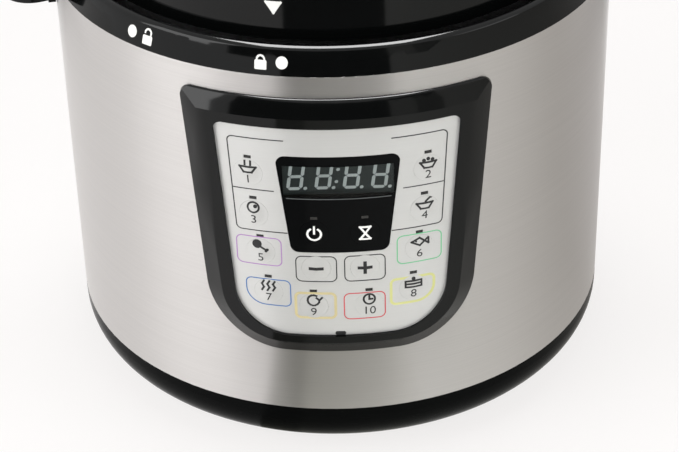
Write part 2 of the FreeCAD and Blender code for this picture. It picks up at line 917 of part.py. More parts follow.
def key_body(name, turn, height):
    """Round key: crowned cap through the face, flange behind it and a short stem."""
    flange_front = overlay_back - s.slip
    flange_back = flange_front - s.key_flange_thick
    flange = s.key_radius + s.slip + s.key_flange_reach
    cap = overlay_front + s.key_rise
    body = turned_body(name, [
        (0, key_stem_end()), (s.key_stem_radius, key_stem_end()), (s.key_stem_radius, flange_back),
        (flange, flange_back), (flange, flange_front), (s.key_radius, flange_front),
        (s.key_radius, cap - s.key_crown), (s.key_radius - s.key_crown * 2, cap), (0, cap)])
    return place(body, 0, 0, height, yaw=turn, roll=90)


def indicator_lights():
    """Light bars from the panel's floor to the face, one over each lit key."""
    bars = []
    for key, row, turn, height in key_places():
        if row != UNLIT_ROW:
            start = floor_front + s.contact
            bars.append(light_bar(f"{key}_light", turn, height, sized(0), start, overlay_front))
    return group("indicator_lights", bars)


def steel_wall():
    """Rolled wall with openings for the panel and the inlet, and holes for the handle screws."""
    tube = turned_body("steel_tube", [
        (steel_inside, steel_low), (steel_radius, steel_low), (steel_radius, steel_top),
        (steel_inside, steel_top)])
    window = curved("steel_window", panel_outline("steel_window_outline", s.plug_reach + s.slip),
                    steel_inside - s.slip, steel_radius + s.slip)
    inlet = centred_block("steel_inlet_hole", s.inlet_wide + s.slip * 2, steel_radius,
                          s.inlet_tall + s.slip * 2, 0, steel_radius, inlet_low() - s.slip)
    tools = [window, inlet]
    for index, (turn, height) in enumerate(ear_screw_places()):
        hole = rod(f"steel_screw_hole_{index}", screw_hole, steel_radius * 2)
        tools.append(place(hole, 0, 0, height, yaw=turn, roll=90))
    return cut("steel_wall", tube, tools)


def top_ring():
    """Moulded ring on the steel wall, with a channel round the lid that catches condensation."""
    spigot_out = steel_inside - s.slip
    body = turned_body("top_ring", [
        (steel_radius, steel_top), (rim_outside, ring_top), (rim_inside, ring_top),
        (rim_inside - s.rim_draft, channel_low), (liner_radius + s.slip, channel_low),
        (liner_radius + s.slip, ring_under), (spigot_out, ring_under), (spigot_out, steel_top)])
    round_edges(body, "top_ring_edge", s.ring_edge, circle_at(rim_outside, ring_top))
    return body


ear_top = steel_top + s.ear_rise


def ear_screw_places():
    """Turn about the axis, from the front, and height of each handle screw."""
    height = ear_top - s.ear_back + s.ear_screw_lift
    turns = [sized(side * QUARTER_TURN) + s.ear_screw_turn * end for side in (1, -1) for end in (1, -1)]
    return [(turn, height) for turn in turns]


def side_handle(name, side):
    """Shelf with rounded ends, a lip to curl fingers behind, and a back that screws to the steel wall."""
    near = steel_radius + s.slip
    far = steel_radius + s.ear_reach
    under = ear_top - s.ear_shelf
    inside = under + s.ear_shelf / 4
    body = turned_body(name + "_blank", [(near, under), (far, under), (far, ear_top), (near, ear_top)], s.ear_span)
    round_edges(body, name + "_corner", s.ear_corner, ear_corners(far))
    round_edges(body, name + "_round", s.ear_round, ear_brim(near, ear_top))
    for part, start, drop in (("back", near, s.ear_back), ("lip", far - s.ear_wall, s.ear_lip)):
        add_turned(body, f"{name}_{part}", [
            (start, ear_top - drop), (start + s.ear_wall, ear_top - drop), (start + s.ear_wall, inside),
            (start, inside)], s.ear_grip_span)
    place(body, yaw=QUARTER_TURN - QUARTER_TURN * side)
    tools = []
    for index, (turn, height) in enumerate(ear_screw_places()):
        hole = rod(f"{name}_hole_{index}", thread_hole, near + s.ear_wall * 2)
        tools.append(place(hole, 0, 0, height, yaw=turn, roll=QUARTER_TURN))
    return cut(name, body, tools)


def ear_corners(far):
    """The shelf's two outer upright corners."""
    def wanted(edge):
        points = [vertex.Point for vertex in edge.Vertexes]
        outside = all(abs(math.hypot(point.x, point.y) - far.value) < 0.01 for point in points)
        return outside and len(points) == 2 and abs(points[0].z - points[1].z) > 1
    return wanted


def ear_brim(near, top):
    """The shelf's top edge, but for the side at the wall."""
    def wanted(edge):
        points = [vertex.Point for vertex in edge.Vertexes]
        high = all(abs(point.z - top.value) < 0.01 for point in points)
        at_wall = all(abs(math.hypot(point.x, point.y) - near.value) < 0.01 for point in points)
        return high and not at_wall
    return wanted


def handle_screws():
    screws = []
    start = chord(steel_inside, s.screw_head_radius) - s.contact
    for index, (turn, height) in enumerate(ear_screw_places()):
        one = screw(f"handle_screw_{index}", s.steel_gauge + s.slip + s.ear_wall)
        screws.append(place(one, start * sine(turn), -(start * cosine(turn)), height, yaw=turn, roll=90))
    return group("handle_screws", screws)


def outer_pot():
    """Liner that hangs on the ring by a collar, with a flange of bayonet lugs for the lid."""
    inside = liner_radius - s.liner_gauge
    neck = liner_radius + s.flange_reach
    seat = liner_radius + s.seat_reach
    body = turned_body("outer_pot", [
        (s.liner_opening, liner_bottom), (liner_radius, liner_bottom), (liner_radius, channel_low),
        (seat, channel_low), (seat, channel_low + s.liner_gauge),
        (liner_radius, channel_low + s.liner_gauge), (liner_radius, flange_low), (neck, flange_low),
        (neck, flange_top), (inside, flange_top), (inside, spring_plate_low),
        (s.liner_opening, spring_plate_low)])
    lug = add_turned(body, "outer_pot_lug", [
        (liner_radius, flange_low), (lug_radius, flange_low), (lug_radius, flange_top),
        (liner_radius, flange_top)], s.lug_span)
    repeat_round(body, "outer_pot_lugs", lug, LUG_COUNT)
    return body


def insulation_band():
    low = liner_bottom + s.blanket_lift
    high = ring_under - s.blanket_gap
    near = liner_radius + s.slip
    return turned_body("insulation_band", [
        (near, low), (band_radius, low), (band_radius, high), (near, high)])


def terminal_places():
    """The two ends of the heating element, beside the back of its ring."""
    half = s.element_gap / 2
    return [(half * side, chord(s.element_circle, half)) for side in (1, -1)]


probe_low = hot_plate_top - s.probe_tall
spring_low = probe_low - s.contact * 2 - s.probe_spring_tall


def elastic_plate():
    """Disc that bows under pressure, on the outer pot's floor, with a cup for the probe's spring."""
    radius = s.liner_opening + s.spring_plate_overlap
    cup = s.probe_foot + s.slip * 2
    cup_wall = cup + s.spring_plate_gauge
    cup_floor = spring_low - s.contact
    cup_low = cup_floor - s.spring_plate_gauge
    disc = turned_body("elastic_disc", [
        (s.probe_radius, cup_low), (cup_wall, cup_low), (cup_wall, spring_plate_low),
        (radius, spring_plate_low), (radius, hot_foot_low), (cup, hot_foot_low), (cup, cup_floor),
        (s.probe_radius, cup_floor)])
    tools = []
    for index, (x, y) in enumerate(terminal_places()):
        hole = rod(f"elastic_plate_hole_{index}", s.element_radius + s.slip * 2, s.spring_plate_gauge)
        tools.append(place(hole, x, y, spring_plate_low))
    return cut("elastic_plate", disc, tools)


def heating_plate():
    """Cast disc on three feet, with an eye for the probe and a groove below for the element."""
    play = s.element_radius + s.contact
    near = s.element_circle - play
    far = s.element_circle + play
    groove_top = hot_plate_low + s.element_lift + play
    disc = turned_body("hot_disc", [
        (s.hot_plate_eye, hot_plate_low), (near, hot_plate_low), (near, groove_top), (far, groove_top),
        (far, hot_plate_low), (s.hot_plate_radius, hot_plate_low), (s.hot_plate_radius, hot_plate_top),
        (s.hot_plate_eye, hot_plate_top)])
    feet = []
    for index, (x, y) in enumerate(around(s.hot_foot_circle, HOT_FOOT_COUNT, s.hot_foot_turn)):
        foot = rod(f"hot_foot_{index}", s.hot_foot_radius, s.hot_foot_tall + s.hot_plate_tall / 2)
        feet.append(place(foot, x, y, hot_foot_low))
    return fuse("heating_plate", [disc] + feet)


def heater_element():
    """Tube bent to an open ring in the plate's groove, with both ends turned down."""
    ring = doc.addObject("Part::Torus", "element_ring")
    bind(ring, "Radius1", s.element_circle)
    bind(ring, "Radius2", s.element_radius)
    height = hot_plate_low + s.element_lift
    place(ring, z=height)
    gap = centred_block("element_gap_tool", s.element_gap, s.element_circle, s.element_radius * 4,
                        0, s.element_circle, height - s.element_radius * 2)
    open_ring = cut("element_open", ring, [gap])
    ends = []
    for index, (x, y) in enumerate(terminal_places()):
        end = rod(f"element_end_{index}", s.element_radius, s.terminal_drop)
        ends.append(place(end, x, y, height - s.terminal_drop))
    return fuse("heater_element", [open_ring] + ends)


def pressure_switch():
    """Small switch under the spring plate."""
    return centred_block("pressure_switch", s.switch_box_long, s.switch_box_wide, s.switch_box_tall,
                         -s.switch_box_set, -s.switch_box_set / 2, spring_plate_low - s.switch_box_tall)


def sensor_probe():
    """Temperature probe that a spring holds up against the inner pot."""
    low = probe_low - s.contact
    foot = low + s.probe_foot_tall
    high = hot_plate_top - s.contact
    return turned_body("sensor_probe", [
        (0, low), (s.probe_foot, low), (s.probe_foot, foot), (s.probe_radius, foot),
        (s.probe_radius, high), (0, high)])


def sensor_spring():
    """Coil spring under the probe's foot, as a sleeve of its outer size."""
    high = spring_low + s.probe_spring_tall
    near = s.probe_foot - s.probe_spring_wall
    return turned_body("sensor_spring", [
        (near, spring_low), (s.probe_foot, spring_low), (s.probe_foot, high), (near, high)])


def inner_pot():
    """Cooking pot with a rounded bottom and a flat lip that the seal presses on."""
    inside = s.pot_radius - s.pot_gauge
    lip = s.pot_radius + s.pot_lip_reach
    lip_low = pot_lip_top - s.pot_lip_thick
    low = hot_plate_top
    floor = low + s.pot_floor
    body = turned_body("inner_pot", [
        (0, low), (s.pot_radius, low), (s.pot_radius, lip_low), (lip, lip_low), (lip, pot_lip_top),
        (inside, pot_lip_top), (inside, floor), (0, floor)])
    round_edges(body, "inner_pot_bend", s.pot_bend, circle_at(s.pot_radius, low))
    round_edges(body, "inner_pot_inside", s.pot_bend - s.pot_gauge, circle_at(inside, floor))
    return body


power_board_low = base_floor + s.power_board_lift
power_board_top = power_board_low + s.board_gauge


def power_board():
    return centred_block("power_board", s.power_board_long, s.power_board_wide, s.board_gauge,
                         0, s.power_board_set, power_board_low)


def power_relay():
    return centred_block("power_relay", s.relay_long, s.relay_wide, s.relay_tall,
                         s.power_board_long / 4, s.power_board_set, power_board_top)


def power_transformer():
    """Winding between the two cheeks of a core."""
    x = -s.power_board_long / 4
    winding = centred_block("transformer_winding", s.winding_long, s.winding_wide, s.winding_tall,
                            x, s.power_board_set, power_board_top)
    core = centred_block("transformer_core", s.core_long, s.core_wide, s.core_tall,
                         x, s.power_board_set, power_board_top)
    return fuse("power_transformer", [winding, core])


def inlet_low():
    return steel_low + s.inlet_lift - s.inlet_tall / 2


def power_inlet():
    """Appliance inlet through the back of the steel wall, with a flange outside and an open socket."""
    front = steel_radius + s.slip
    deep = front - band_radius - s.inlet_clear
    flange = centred_block("inlet_flange_plate", s.inlet_wide + s.inlet_flange * 2, s.inlet_flange_thick,
                           s.inlet_tall + s.inlet_flange * 2, 0, front + s.inlet_flange_thick / 2,
                           inlet_low() - s.inlet_flange)
    housing = centred_block("inlet_housing", s.inlet_wide, deep, s.inlet_tall,
                            0, front - deep / 2, inlet_low())
    blank = fuse("inlet_blank", [flange, housing])
    socket = centred_block("inlet_socket", s.socket_wide, s.socket_deep, s.socket_tall,
                           0, front + s.inlet_flange_thick - s.socket_deep / 2,
                           inlet_low() + (s.inlet_tall - s.socket_tall) / 2)
    return cut("power_inlet", blank, [socket])


def inlet_pins():
    """Three contact blades that stand on the socket's floor."""
    floor = steel_radius + s.slip + s.inlet_flange_thick - s.socket_deep
    middle = inlet_low() + s.inlet_tall / 2 - s.pin_wide / 2
    pins = []
    for index, (x, step) in enumerate(((-1, -0.5), (0, 0.5), (1, -0.5))):
        pins.append(centred_block(f"pin_{index}", s.pin_thick, s.pin_long, s.pin_wide,
                                  s.pin_pitch * x, floor + s.pin_long / 2, middle + s.pin_step * step))
    return group("inlet_pins", pins)


cup_top = steel_top - s.cup_top_drop
rail_top = cup_top - s.cup_wall * 2
rail_back = steel_radius + s.slip
rail_face = rail_back + s.rail_thick
head_face = rail_face + s.rail_thick


def cup_bracket():
    """Upright T rail on the back of the steel wall that the cup hangs on."""
    plate = centred_block("rail_plate", s.rail_head, s.rail_thick / 2, s.rail_tall,
                          0, rail_back + s.rail_thick / 4, rail_top - s.rail_tall)
    neck = centred_block("rail_neck_block", s.rail_neck, s.rail_thick, s.rail_tall,
                         0, rail_back + s.rail_thick / 2, rail_top - s.rail_tall)
    head = centred_block("rail_head_block", s.rail_head, s.rail_thick, s.rail_tall,
                         0, rail_face + s.rail_thick / 2, rail_top - s.rail_tall)
    return fuse("cup_bracket", [plate, neck, head])


def condensation_cup():
    """Open cup with a T slot at its back, which lifts up off the rail."""
    near = rail_back + s.rail_thick / 2 + s.slip
    far = near + s.cup_deep
    low = cup_top - s.cup_tall
    shell = centred_block("cup_block", s.cup_wide, s.cup_deep, s.cup_tall, 0, near + s.cup_deep / 2, low)
    slot_tall = rail_top - low + s.contact
    neck = centred_block("cup_slot_neck", s.rail_neck + s.slip * 2, s.rail_thick * 2, slot_tall,
                         0, near, low)
    head_deep = s.rail_thick + s.slip * 2
    head = centred_block("cup_slot_head", s.rail_head + s.slip * 2, head_deep, slot_tall,
                         0, rail_face - s.slip + head_deep / 2, low)
    hollow_near = head_face + s.slip + s.cup_web
    hollow_deep = far - s.cup_wall - hollow_near
    hollow = centred_block("cup_hollow", s.cup_wide - s.cup_wall * 2, hollow_deep, s.cup_tall,
                           0, hollow_near + hollow_deep / 2, low + s.cup_wall)
    return cut("condensation_cup", shell, [neck, head, hollow])


def sealing_ring():
    """Silicone ring with a slit lip that opens towards the pot."""
    far = lid_inside - s.slip * 2
    near = far - s.seal_thick
    low = pot_lip_top + s.slip
    high = low + s.seal_tall
    middle = near + s.seal_thick / 2
    slit = s.seal_lip_gap / 2
    return turned_body("sealing_ring", [
        (near, low + slit), (near + s.seal_lip_deep, low + s.seal_tall / 2 - slit),
        (near + s.seal_lip_deep, low + s.seal_tall / 2 + slit), (near, high - slit), (near, high),
        (far, high), (far, low), (middle, low), (near + slit, low)])


def seal_rack():
    """Wire hoop on three studs under the lid that holds the sealing ring out."""
    circle = lid_inside - s.slip * 3 - s.seal_thick - s.rack_wire
    height = pot_lip_top + s.slip + s.seal_tall / 2
    hoop = doc.addObject("Part::Torus", "rack_hoop")
    bind(hoop, "Radius1", circle)
    bind(hoop, "Radius2", s.rack_wire)
    place(hoop, z=height)
    studs = []
    for index, (x, y) in enumerate(around(circle, RACK_STUD_COUNT, s.rack_turn)):
        stud = rod(f"rack_stud_{index}", s.rack_stud, lid_under - height)
        studs.append(place(stud, x, y, height))
    return fuse("seal_rack", [hoop] + studs)


def lid_plate():
    """Pressed lid with a skirt and inward lugs that turn under those of the outer pot."""
    lug_top = flange_low - s.lid_lug_gap
    lug_low = lug_top - s.lid_lug_thick
    skirt_low = lug_low - s.lid_skirt_drop
    lug_inside = liner_radius + s.flange_reach + s.lid_play
    body = turned_body("lid_pressing", [
        (lid_inside, skirt_low), (lid_radius, skirt_low), (lid_radius, lid_top), (0, lid_top),
        (0, lid_under), (lid_inside, lid_under)])
    lug = add_turned(body, "lid_lug", [
        (lug_inside, lug_low), (lid_radius, lug_low), (lid_radius, lug_top), (lug_inside, lug_top)],
        s.lid_lug_span)
    repeat_round(body, "lid_lugs", lug, LUG_COUNT)
    pipe_hole = rod("plate_pipe_hole", s.pipe_radius + s.slip, s.lid_gauge)
    float_hole = rod("plate_float_hole", s.float_radius + s.slip, s.lid_gauge)
    tools = [place(pipe_hole, 0, pipe_set, lid_under),
             place(float_hole, s.float_side, float_set, lid_under)]
    for index, (x, y) in enumerate(around(cover_boss_circle, LID_SCREW_COUNT, s.cover_boss_turn)):
        tools.append(place(rod(f"plate_screw_hole_{index}", screw_hole, s.lid_gauge), x, y, lid_under))
    return cut("lid_plate", body, tools)


def grip_screw_places():
    return [((s.grip_half - s.grip_foot / 2) * side, 0) for side in (1, -1)]


def lid_cover():
    """Moulded cover on the lid plate: upright skirt, sloping shoulder, flat top, screw bosses inside."""
    shoulder = cover_low + s.cover_skirt
    body = turned_body("cover_shell", [
        (cover_inside, cover_low), (cover_radius, cover_low), (cover_radius, shoulder),
        (cover_flat, cover_top), (0, cover_top), (0, cover_under),
        (cover_flat - s.cover_gauge / 2, cover_under),
        (cover_inside, shoulder - s.cover_gauge / 2)])
    round_edges(body, "cover_shoulder_round", s.cover_round, circle_at(cover_radius, shoulder))
    round_edges(body, "cover_top_round", s.cover_round, circle_at(cover_flat, cover_top))
    inner_round = s.cover_round - s.cover_gauge
    inner_shoulder = circle_at(cover_inside, shoulder - s.cover_gauge / 2)
    inner_top = circle_at(cover_flat - s.cover_gauge / 2, cover_under)
    round_edges(body, "cover_inside_shoulder", inner_round, inner_shoulder)
    round_edges(body, "cover_inside_top", inner_round, inner_top)
    deep = cover_under - lid_top
    bosses = []
    for index, (x, y) in enumerate(around(cover_boss_circle, LID_SCREW_COUNT, s.cover_boss_turn)):
        boss = turned_body(f"cover_boss_{index}", [
            (thread_hole, 0), (s.cover_boss_radius, 0), (s.cover_boss_radius, deep + s.cover_gauge / 2),
            (0, deep + s.cover_gauge / 2), (0, s.screw_deep), (thread_hole, s.screw_deep)])
        bosses.append(place(boss, x, y, lid_top))
    blank = fuse("cover_blank", [body] + bosses)
    through = s.cover_gauge * 3
    hole_low = cover_under - s.cover_gauge
    tools = [place(rod("cover_pipe_hole", s.pipe_collar, through), 0, pipe_set, hole_low),
             place(rod("cover_float_hole", s.float_eye, through), s.float_side, float_set, hole_low)]
    for index, (x, y) in enumerate(grip_screw_places()):
        hole = rod(f"cover_grip_hole_{index}", screw_hole, through)
        tools.append(place(hole, x, y, hole_low))
    return cut("lid_cover", blank, tools)


def lid_screws():
    screws = []
    for index, (x, y) in enumerate(around(cover_boss_circle, LID_SCREW_COUNT, s.cover_boss_turn)):
        one = screw(f"lid_screw_{index}", s.screw_deep + s.lid_gauge - s.contact)
        screws.append(place(one, x, y, lid_under))
    return group("lid_screws", screws)


def lid_handle():
    """Bridge grip across the lid."""
    high = cover_top + s.grip_tall
    under = high - s.grip_bar
    outer = s.grip_half
    inner = outer - s.grip_foot
    lean = s.grip_lean
    body = padded_body("lid_handle_bar", "XZ_Plane", [
        (-outer, cover_top), (-outer + lean, high), (outer - lean, high), (outer, cover_top),
        (inner, cover_top), (inner - lean / 2, under), (-inner + lean / 2, under), (-inner, cover_top)],
        s.grip_wide, True)
    round_edges(body, "grip_shoulders", s.grip_round, lambda edge: runs_back_at(edge, high.value))
    round_edges(body, "grip_under", s.grip_inner_round, lambda edge: runs_back_at(edge, under.value))
    half = s.grip_wide.value / 2
    foot = cover_top.value

    def side_edge(edge):
        points = [vertex.Point for vertex in edge.Vertexes]
        beside = all(abs(abs(point.y) - half) < 1e-6 for point in points)
        return beside and not all(abs(point.z - foot) < 1e-6 for point in points)

    round_edges(body, "grip_edges", s.grip_edge, side_edge)
    tools = []
    for index, (x, y) in enumerate(grip_screw_places()):
        hole = rod(f"grip_hole_{index}", thread_hole, s.screw_deep + s.contact)
        tools.append(place(hole, x, y, cover_top))
    return cut("lid_handle", body, tools)


def runs_back_at(edge, height):
    """An edge straight along Y at a height."""
    ends = [vertex.Point for vertex in edge.Vertexes]
    level = all(abs(point.z - height) < 1e-6 for point in ends)
    return len(ends) == 2 and level and abs(ends[0].x - ends[1].x) < 1e-6


def lid_handle_screws():
    screws = []
    for index, (x, y) in enumerate(grip_screw_places()):
        screws.append(place(screw(f"grip_screw_{index}", s.screw_deep + s.cover_gauge), x, y, cover_under))
    return group("lid_handle_screws", screws)


pipe_top = cover_top + s.pipe_above


def steam_pipe():
    """Pipe through the lid, held by a collar above and a nut below."""
    collar_top = lid_top + s.pipe_collar_tall
    low = lid_under - s.pipe_below
    body = turned_body("steam_pipe", [
        (s.pipe_bore, low), (s.pipe_radius, low), (s.pipe_radius, lid_top), (s.pipe_collar, lid_top),
        (s.pipe_collar, collar_top), (s.pipe_radius, collar_top), (s.pipe_radius, pipe_top),
        (s.pipe_bore, pipe_top)])
    return place(body, 0, pipe_set)


def pipe_nut():
    """Six-sided nut under the lid plate."""
    prism = doc.addObject("Part::Prism", "nut_prism")
    prism.Polygon = 6
    bind(prism, "Circumradius", s.nut_across / math.sqrt(3))
    bind(prism, "Height", s.nut_tall)
    place(prism, 0, pipe_set, lid_under - s.nut_tall)
    bore = rod("nut_bore", s.pipe_radius + s.contact, s.nut_tall)
    place(bore, 0, pipe_set, lid_under - s.nut_tall)
    return cut("pipe_nut", prism, [bore])


def filter_shield():
    """Slotted cap that keeps food away from the end of the pipe."""
    low = lid_under - s.shield_tall
    inside = s.shield_radius - s.shield_wall
    body = turned_body("shield_cap", [
        (0, low), (s.shield_radius, low), (s.shield_radius, lid_under), (inside, lid_under),
        (inside, low + s.shield_wall), (0, low + s.shield_wall)])
    place(body, 0, pipe_set)
    tools = []
    for index in range(SHIELD_SLOT_COUNT):
        turn = sized(360 / SHIELD_SLOT_COUNT * index)
        slot = block(f"shield_slot_{index}", s.shield_radius * 2, s.shield_slot, s.shield_tall / 2)
        half = s.shield_slot / 2
        place(slot, half * sine(turn), pipe_set - half * cosine(turn), low + s.shield_tall / 4, yaw=turn)
        tools.append(slot)
    return cut("filter_shield", body, tools)


def steam_valve_knob():
    """Weight that turns on the pipe, with a fin to grip."""
    low = cover_top + s.knob_cover_gap
    high = low + s.knob_tall
    bore = s.pipe_radius + s.slip
    roof = pipe_top + s.slip
    body = turned_body("knob_cap", [
        (bore, low), (s.knob_radius, low), (s.knob_radius, high), (0, high), (0, roof), (bore, roof)])
    place(body, 0, pipe_set)
    fin = centred_block("knob_fin", s.knob_fin_wide, s.knob_fin_reach + s.knob_radius, s.knob_fin_tall,
                        0, pipe_set + (s.knob_fin_reach - s.knob_radius) / 2, high - s.knob_fin_tall / 2)
    return fuse("steam_valve_knob", [body, fin])


def float_pin():
    """Pin that steam lifts until its seal closes the hole in the lid plate."""
    shoulder_low = lid_top + s.contact
    shoulder_top = shoulder_low + s.float_shoulder_tall
    end = lid_under - s.float_below
    end_top = end + s.float_end_tall
    high = cover_top - s.float_top_drop
    body = turned_body("float_pin", [
        (0, end), (s.float_end, end), (s.float_end, end_top), (s.float_radius, end_top),
        (s.float_radius, shoulder_low), (s.float_shoulder, shoulder_low), (s.float_shoulder, shoulder_top),
        (s.float_radius, shoulder_top), (s.float_radius, high), (0, high)])
    return place(body, s.float_side, float_set)


def float_seal():
    low = lid_under - s.float_below + s.float_end_tall + s.contact
    bore = s.float_radius + s.contact
    body = turned_body("float_seal", [
        (bore, low), (s.float_seal_radius, low), (s.float_seal_radius, low + s.float_seal_tall),
        (bore, low + s.float_seal_tall)])
    return place(body, s.float_side, float_set)


PIECES = (
    base_shell, rubber_feet, support_posts, base_screws, steel_wall, top_ring, handle_screws,
    outer_pot, insulation_band, elastic_plate, heating_plate, heater_element, pressure_switch,
    sensor_probe, sensor_spring, inner_pot, power_board, power_relay, power_transformer,
    power_inlet, inlet_pins, cup_bracket, condensation_cup, panel_frame, panel_overlay,
    display_window, led_display, control_board, board_screws, switch_domes, indicator_lights,
    sealing_ring, seal_rack, lid_plate, lid_cover, lid_screws, lid_handle, lid_handle_screws,
    steam_pipe, pipe_nut, filter_shield, steam_valve_knob, float_pin, float_seal,
)
for make in PIECES:
    node(make())
node(side_handle("right_handle", 1))
node(side_handle("left_handle", -1))
for key, row, turn, height in key_places():
    node(key_body(key, turn, height))
doc.recompute()

for thing in doc.Objects:
    if "Invalid" in thing.State or "Error" in thing.State:
        raise RuntimeError(f"{thing.Label} failed: {thing.State}")
for piece in nodes:
    if piece.Shape.isNull() or not piece.Shape.isValid() or not piece.Shape.Solids:
        raise RuntimeError(f"{piece.Label} has no valid solid")

os.makedirs("parts", exist_ok=True)
for piece in nodes:
    piece.Shape.exportStep(f"parts/{piece.Label}.step")
print(f"{len(nodes)} nodes written")
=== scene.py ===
"""Looks of an electric pressure cooker: finishes of its solids, key domes, printed marks and a studio."""
import json
import math

import bmesh
import bpy
from bpy.props import FloatProperty, FloatVectorProperty, PointerProperty
from mathutils import Matrix, Vector


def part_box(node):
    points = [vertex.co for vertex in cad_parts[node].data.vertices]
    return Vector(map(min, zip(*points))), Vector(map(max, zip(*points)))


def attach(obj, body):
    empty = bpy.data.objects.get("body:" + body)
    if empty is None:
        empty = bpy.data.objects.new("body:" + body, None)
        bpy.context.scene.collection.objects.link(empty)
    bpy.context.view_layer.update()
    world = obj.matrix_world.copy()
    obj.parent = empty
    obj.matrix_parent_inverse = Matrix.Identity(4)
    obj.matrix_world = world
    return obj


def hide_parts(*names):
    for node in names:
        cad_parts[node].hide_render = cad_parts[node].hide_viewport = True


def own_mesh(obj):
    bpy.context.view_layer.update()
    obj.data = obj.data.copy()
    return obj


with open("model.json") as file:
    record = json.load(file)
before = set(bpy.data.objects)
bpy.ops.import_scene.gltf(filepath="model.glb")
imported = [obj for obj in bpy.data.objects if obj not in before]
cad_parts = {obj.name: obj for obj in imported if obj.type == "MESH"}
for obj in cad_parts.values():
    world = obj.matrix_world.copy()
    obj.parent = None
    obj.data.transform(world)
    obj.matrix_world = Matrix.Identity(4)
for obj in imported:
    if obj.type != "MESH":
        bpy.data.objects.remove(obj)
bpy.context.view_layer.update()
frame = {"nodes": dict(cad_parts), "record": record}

bl_info = {
    "name": "Electric Pressure Cooker",
    "version": (1, 0, 0),
    "blender": (4, 5, 0),
    "location": "3D View > Sidebar > Cooker",
    "description": "Dresses the solids of an electric pressure cooker",
    "category": "Object",
}

MM = 0.001
FACE_RADIUS = 140.0 * MM
STEEL_RADIUS = 136.0 * MM
LID_RADIUS = 122.6 * MM
RING_LOW, RING_HIGH = 213.5 * MM, 226.0 * MM
RIM_RADIUS = 131.7 * MM
KEY_HOLE_RADIUS = 6.8 * MM
SKIN_SIDES = 720
INK_DEEP = 36.0 * MM
INK_MIDDLE = -132.0 * MM

# Each row of keys: its left and right key, and its turn from the front and height
KEY_ROWS = (
    ("soup_key", "rice_key", 16.8, 164.7),
    ("meat_key", "porridge_key", 16.1, 143.2),
    ("chicken_key", "fish_key", 15.1, 122.7),
    ("steam_key", "cake_key", 13.9, 100.7),
    ("reheat_key", "slow_cook_key", 5.3, 94.0),
    ("minus_key", "plus_key", 4.6, 115.2),
    ("cancel_key", "timer_key", 4.75, 134.3),
)
WINDOW_KEYS = ("cancel_key", "timer_key")


def to_linear(text):
    """An sRGB hex colour as linear RGBA."""
    channels = [int(text[index:index + 2], 16) / 255 for index in (1, 3, 5)]
    return [c / 12.92 if c <= 0.04045 else ((c + 0.055) / 1.055) ** 2.4 for c in channels] + [1.0]


def colour(name, text, description):
    return FloatVectorProperty(name=name, description=description, default=to_linear(text), size=4,
                               subtype="COLOR", min=0.0, max=1.0)


def length(name, millimetres, description):
    return FloatProperty(name=name, description=description, default=millimetres * MM, min=0.0, unit="LENGTH")


class CookerColours(bpy.types.PropertyGroup):
    """Colours that a user may change."""

    steel: colour("Steel", "#D1CECC", "Brushed wall")
    black: colour("Black plastic", "#070808", "Base, ring, frame, lid and handles")
    silver: colour("Silver film", "#D3D3D1", "Face of the control panel")
    lens: colour("Lens", "#08090A", "Window over the display")
    ink: colour("Black ink", "#232324", "Lines and key marks on the silver film")
    white: colour("White ink", "#F2F2EE", "Marks on black plastic")
    # Also the colour of the segments' painted glow
    segment: colour("Segments", "#D4D7D5", "Unlit segments of the display")
    edge: colour("Display edge", "#565A5A", "Line below the display")
    display: colour("Display face", "#3A4243", "Face of the display behind its segments")
    purple: colour("Purple outline", "#AE82BC", "Left key of the third row")
    green: colour("Green outline", "#6FC48F", "Right key of the third row")
    blue: colour("Blue outline", "#3B6FB0", "Left key of the fourth row")
    yellow: colour("Yellow outline", "#D2D38C", "Right key of the fourth row")
    orange: colour("Orange outline", "#CABD8E", "Left key of the low row")
    red: colour("Red outline", "#CC4249", "Right key of the low row")
    floor: colour("Floor", "#FCFAF9", "Surface that the cooker stands on")


class CookerSizes(bpy.types.PropertyGroup):
    """Sizes that a user may change."""

    ink_lift: length("Ink lift", 0.05, "How far ink stands above and reaches below its surface")
    line_wide: length("Line", 0.52, "Width of the thin printed lines")
    band_wide: length("Band", 1.3, "Width of the two broad pale outlines")
    dome_tall: length("Dome height", 0.6, "How far a key dome stands above the film")
    dome_gap: length("Dome gap", 0.05, "Gap between a key dome and its hole")
    dome_deep: length("Dome depth", 1.1, "How far a key dome reaches into the panel")
    digit_tall: length("Digit height", 14.2, "Height of the display's digits")
    digit_pitch: length("Digit pitch", 12.7, "Spacing of the display's digits")
    digit_wide: length("Digit width", 7.3, "Width of the display's digits")
    segment_wide: length("Segment width", 1.5, "Width of one segment of a digit")
    soft_edge: length("Soft edge", 0.8, "Rounding of moulded edges")


def add_node(tree, kind, inputs=None, **settings):
    """Adds a node with its settings, and fills its inputs with values or with other nodes' outputs."""
    node = tree.nodes.new(kind)
    for name, value in settings.items():
        setattr(node, name, value)
    for name, value in (inputs or {}).items():
        if isinstance(value, bpy.types.NodeSocket):
            tree.links.new(value, node.inputs[name])
        else:
            node.inputs[name].default_value = value
    return node


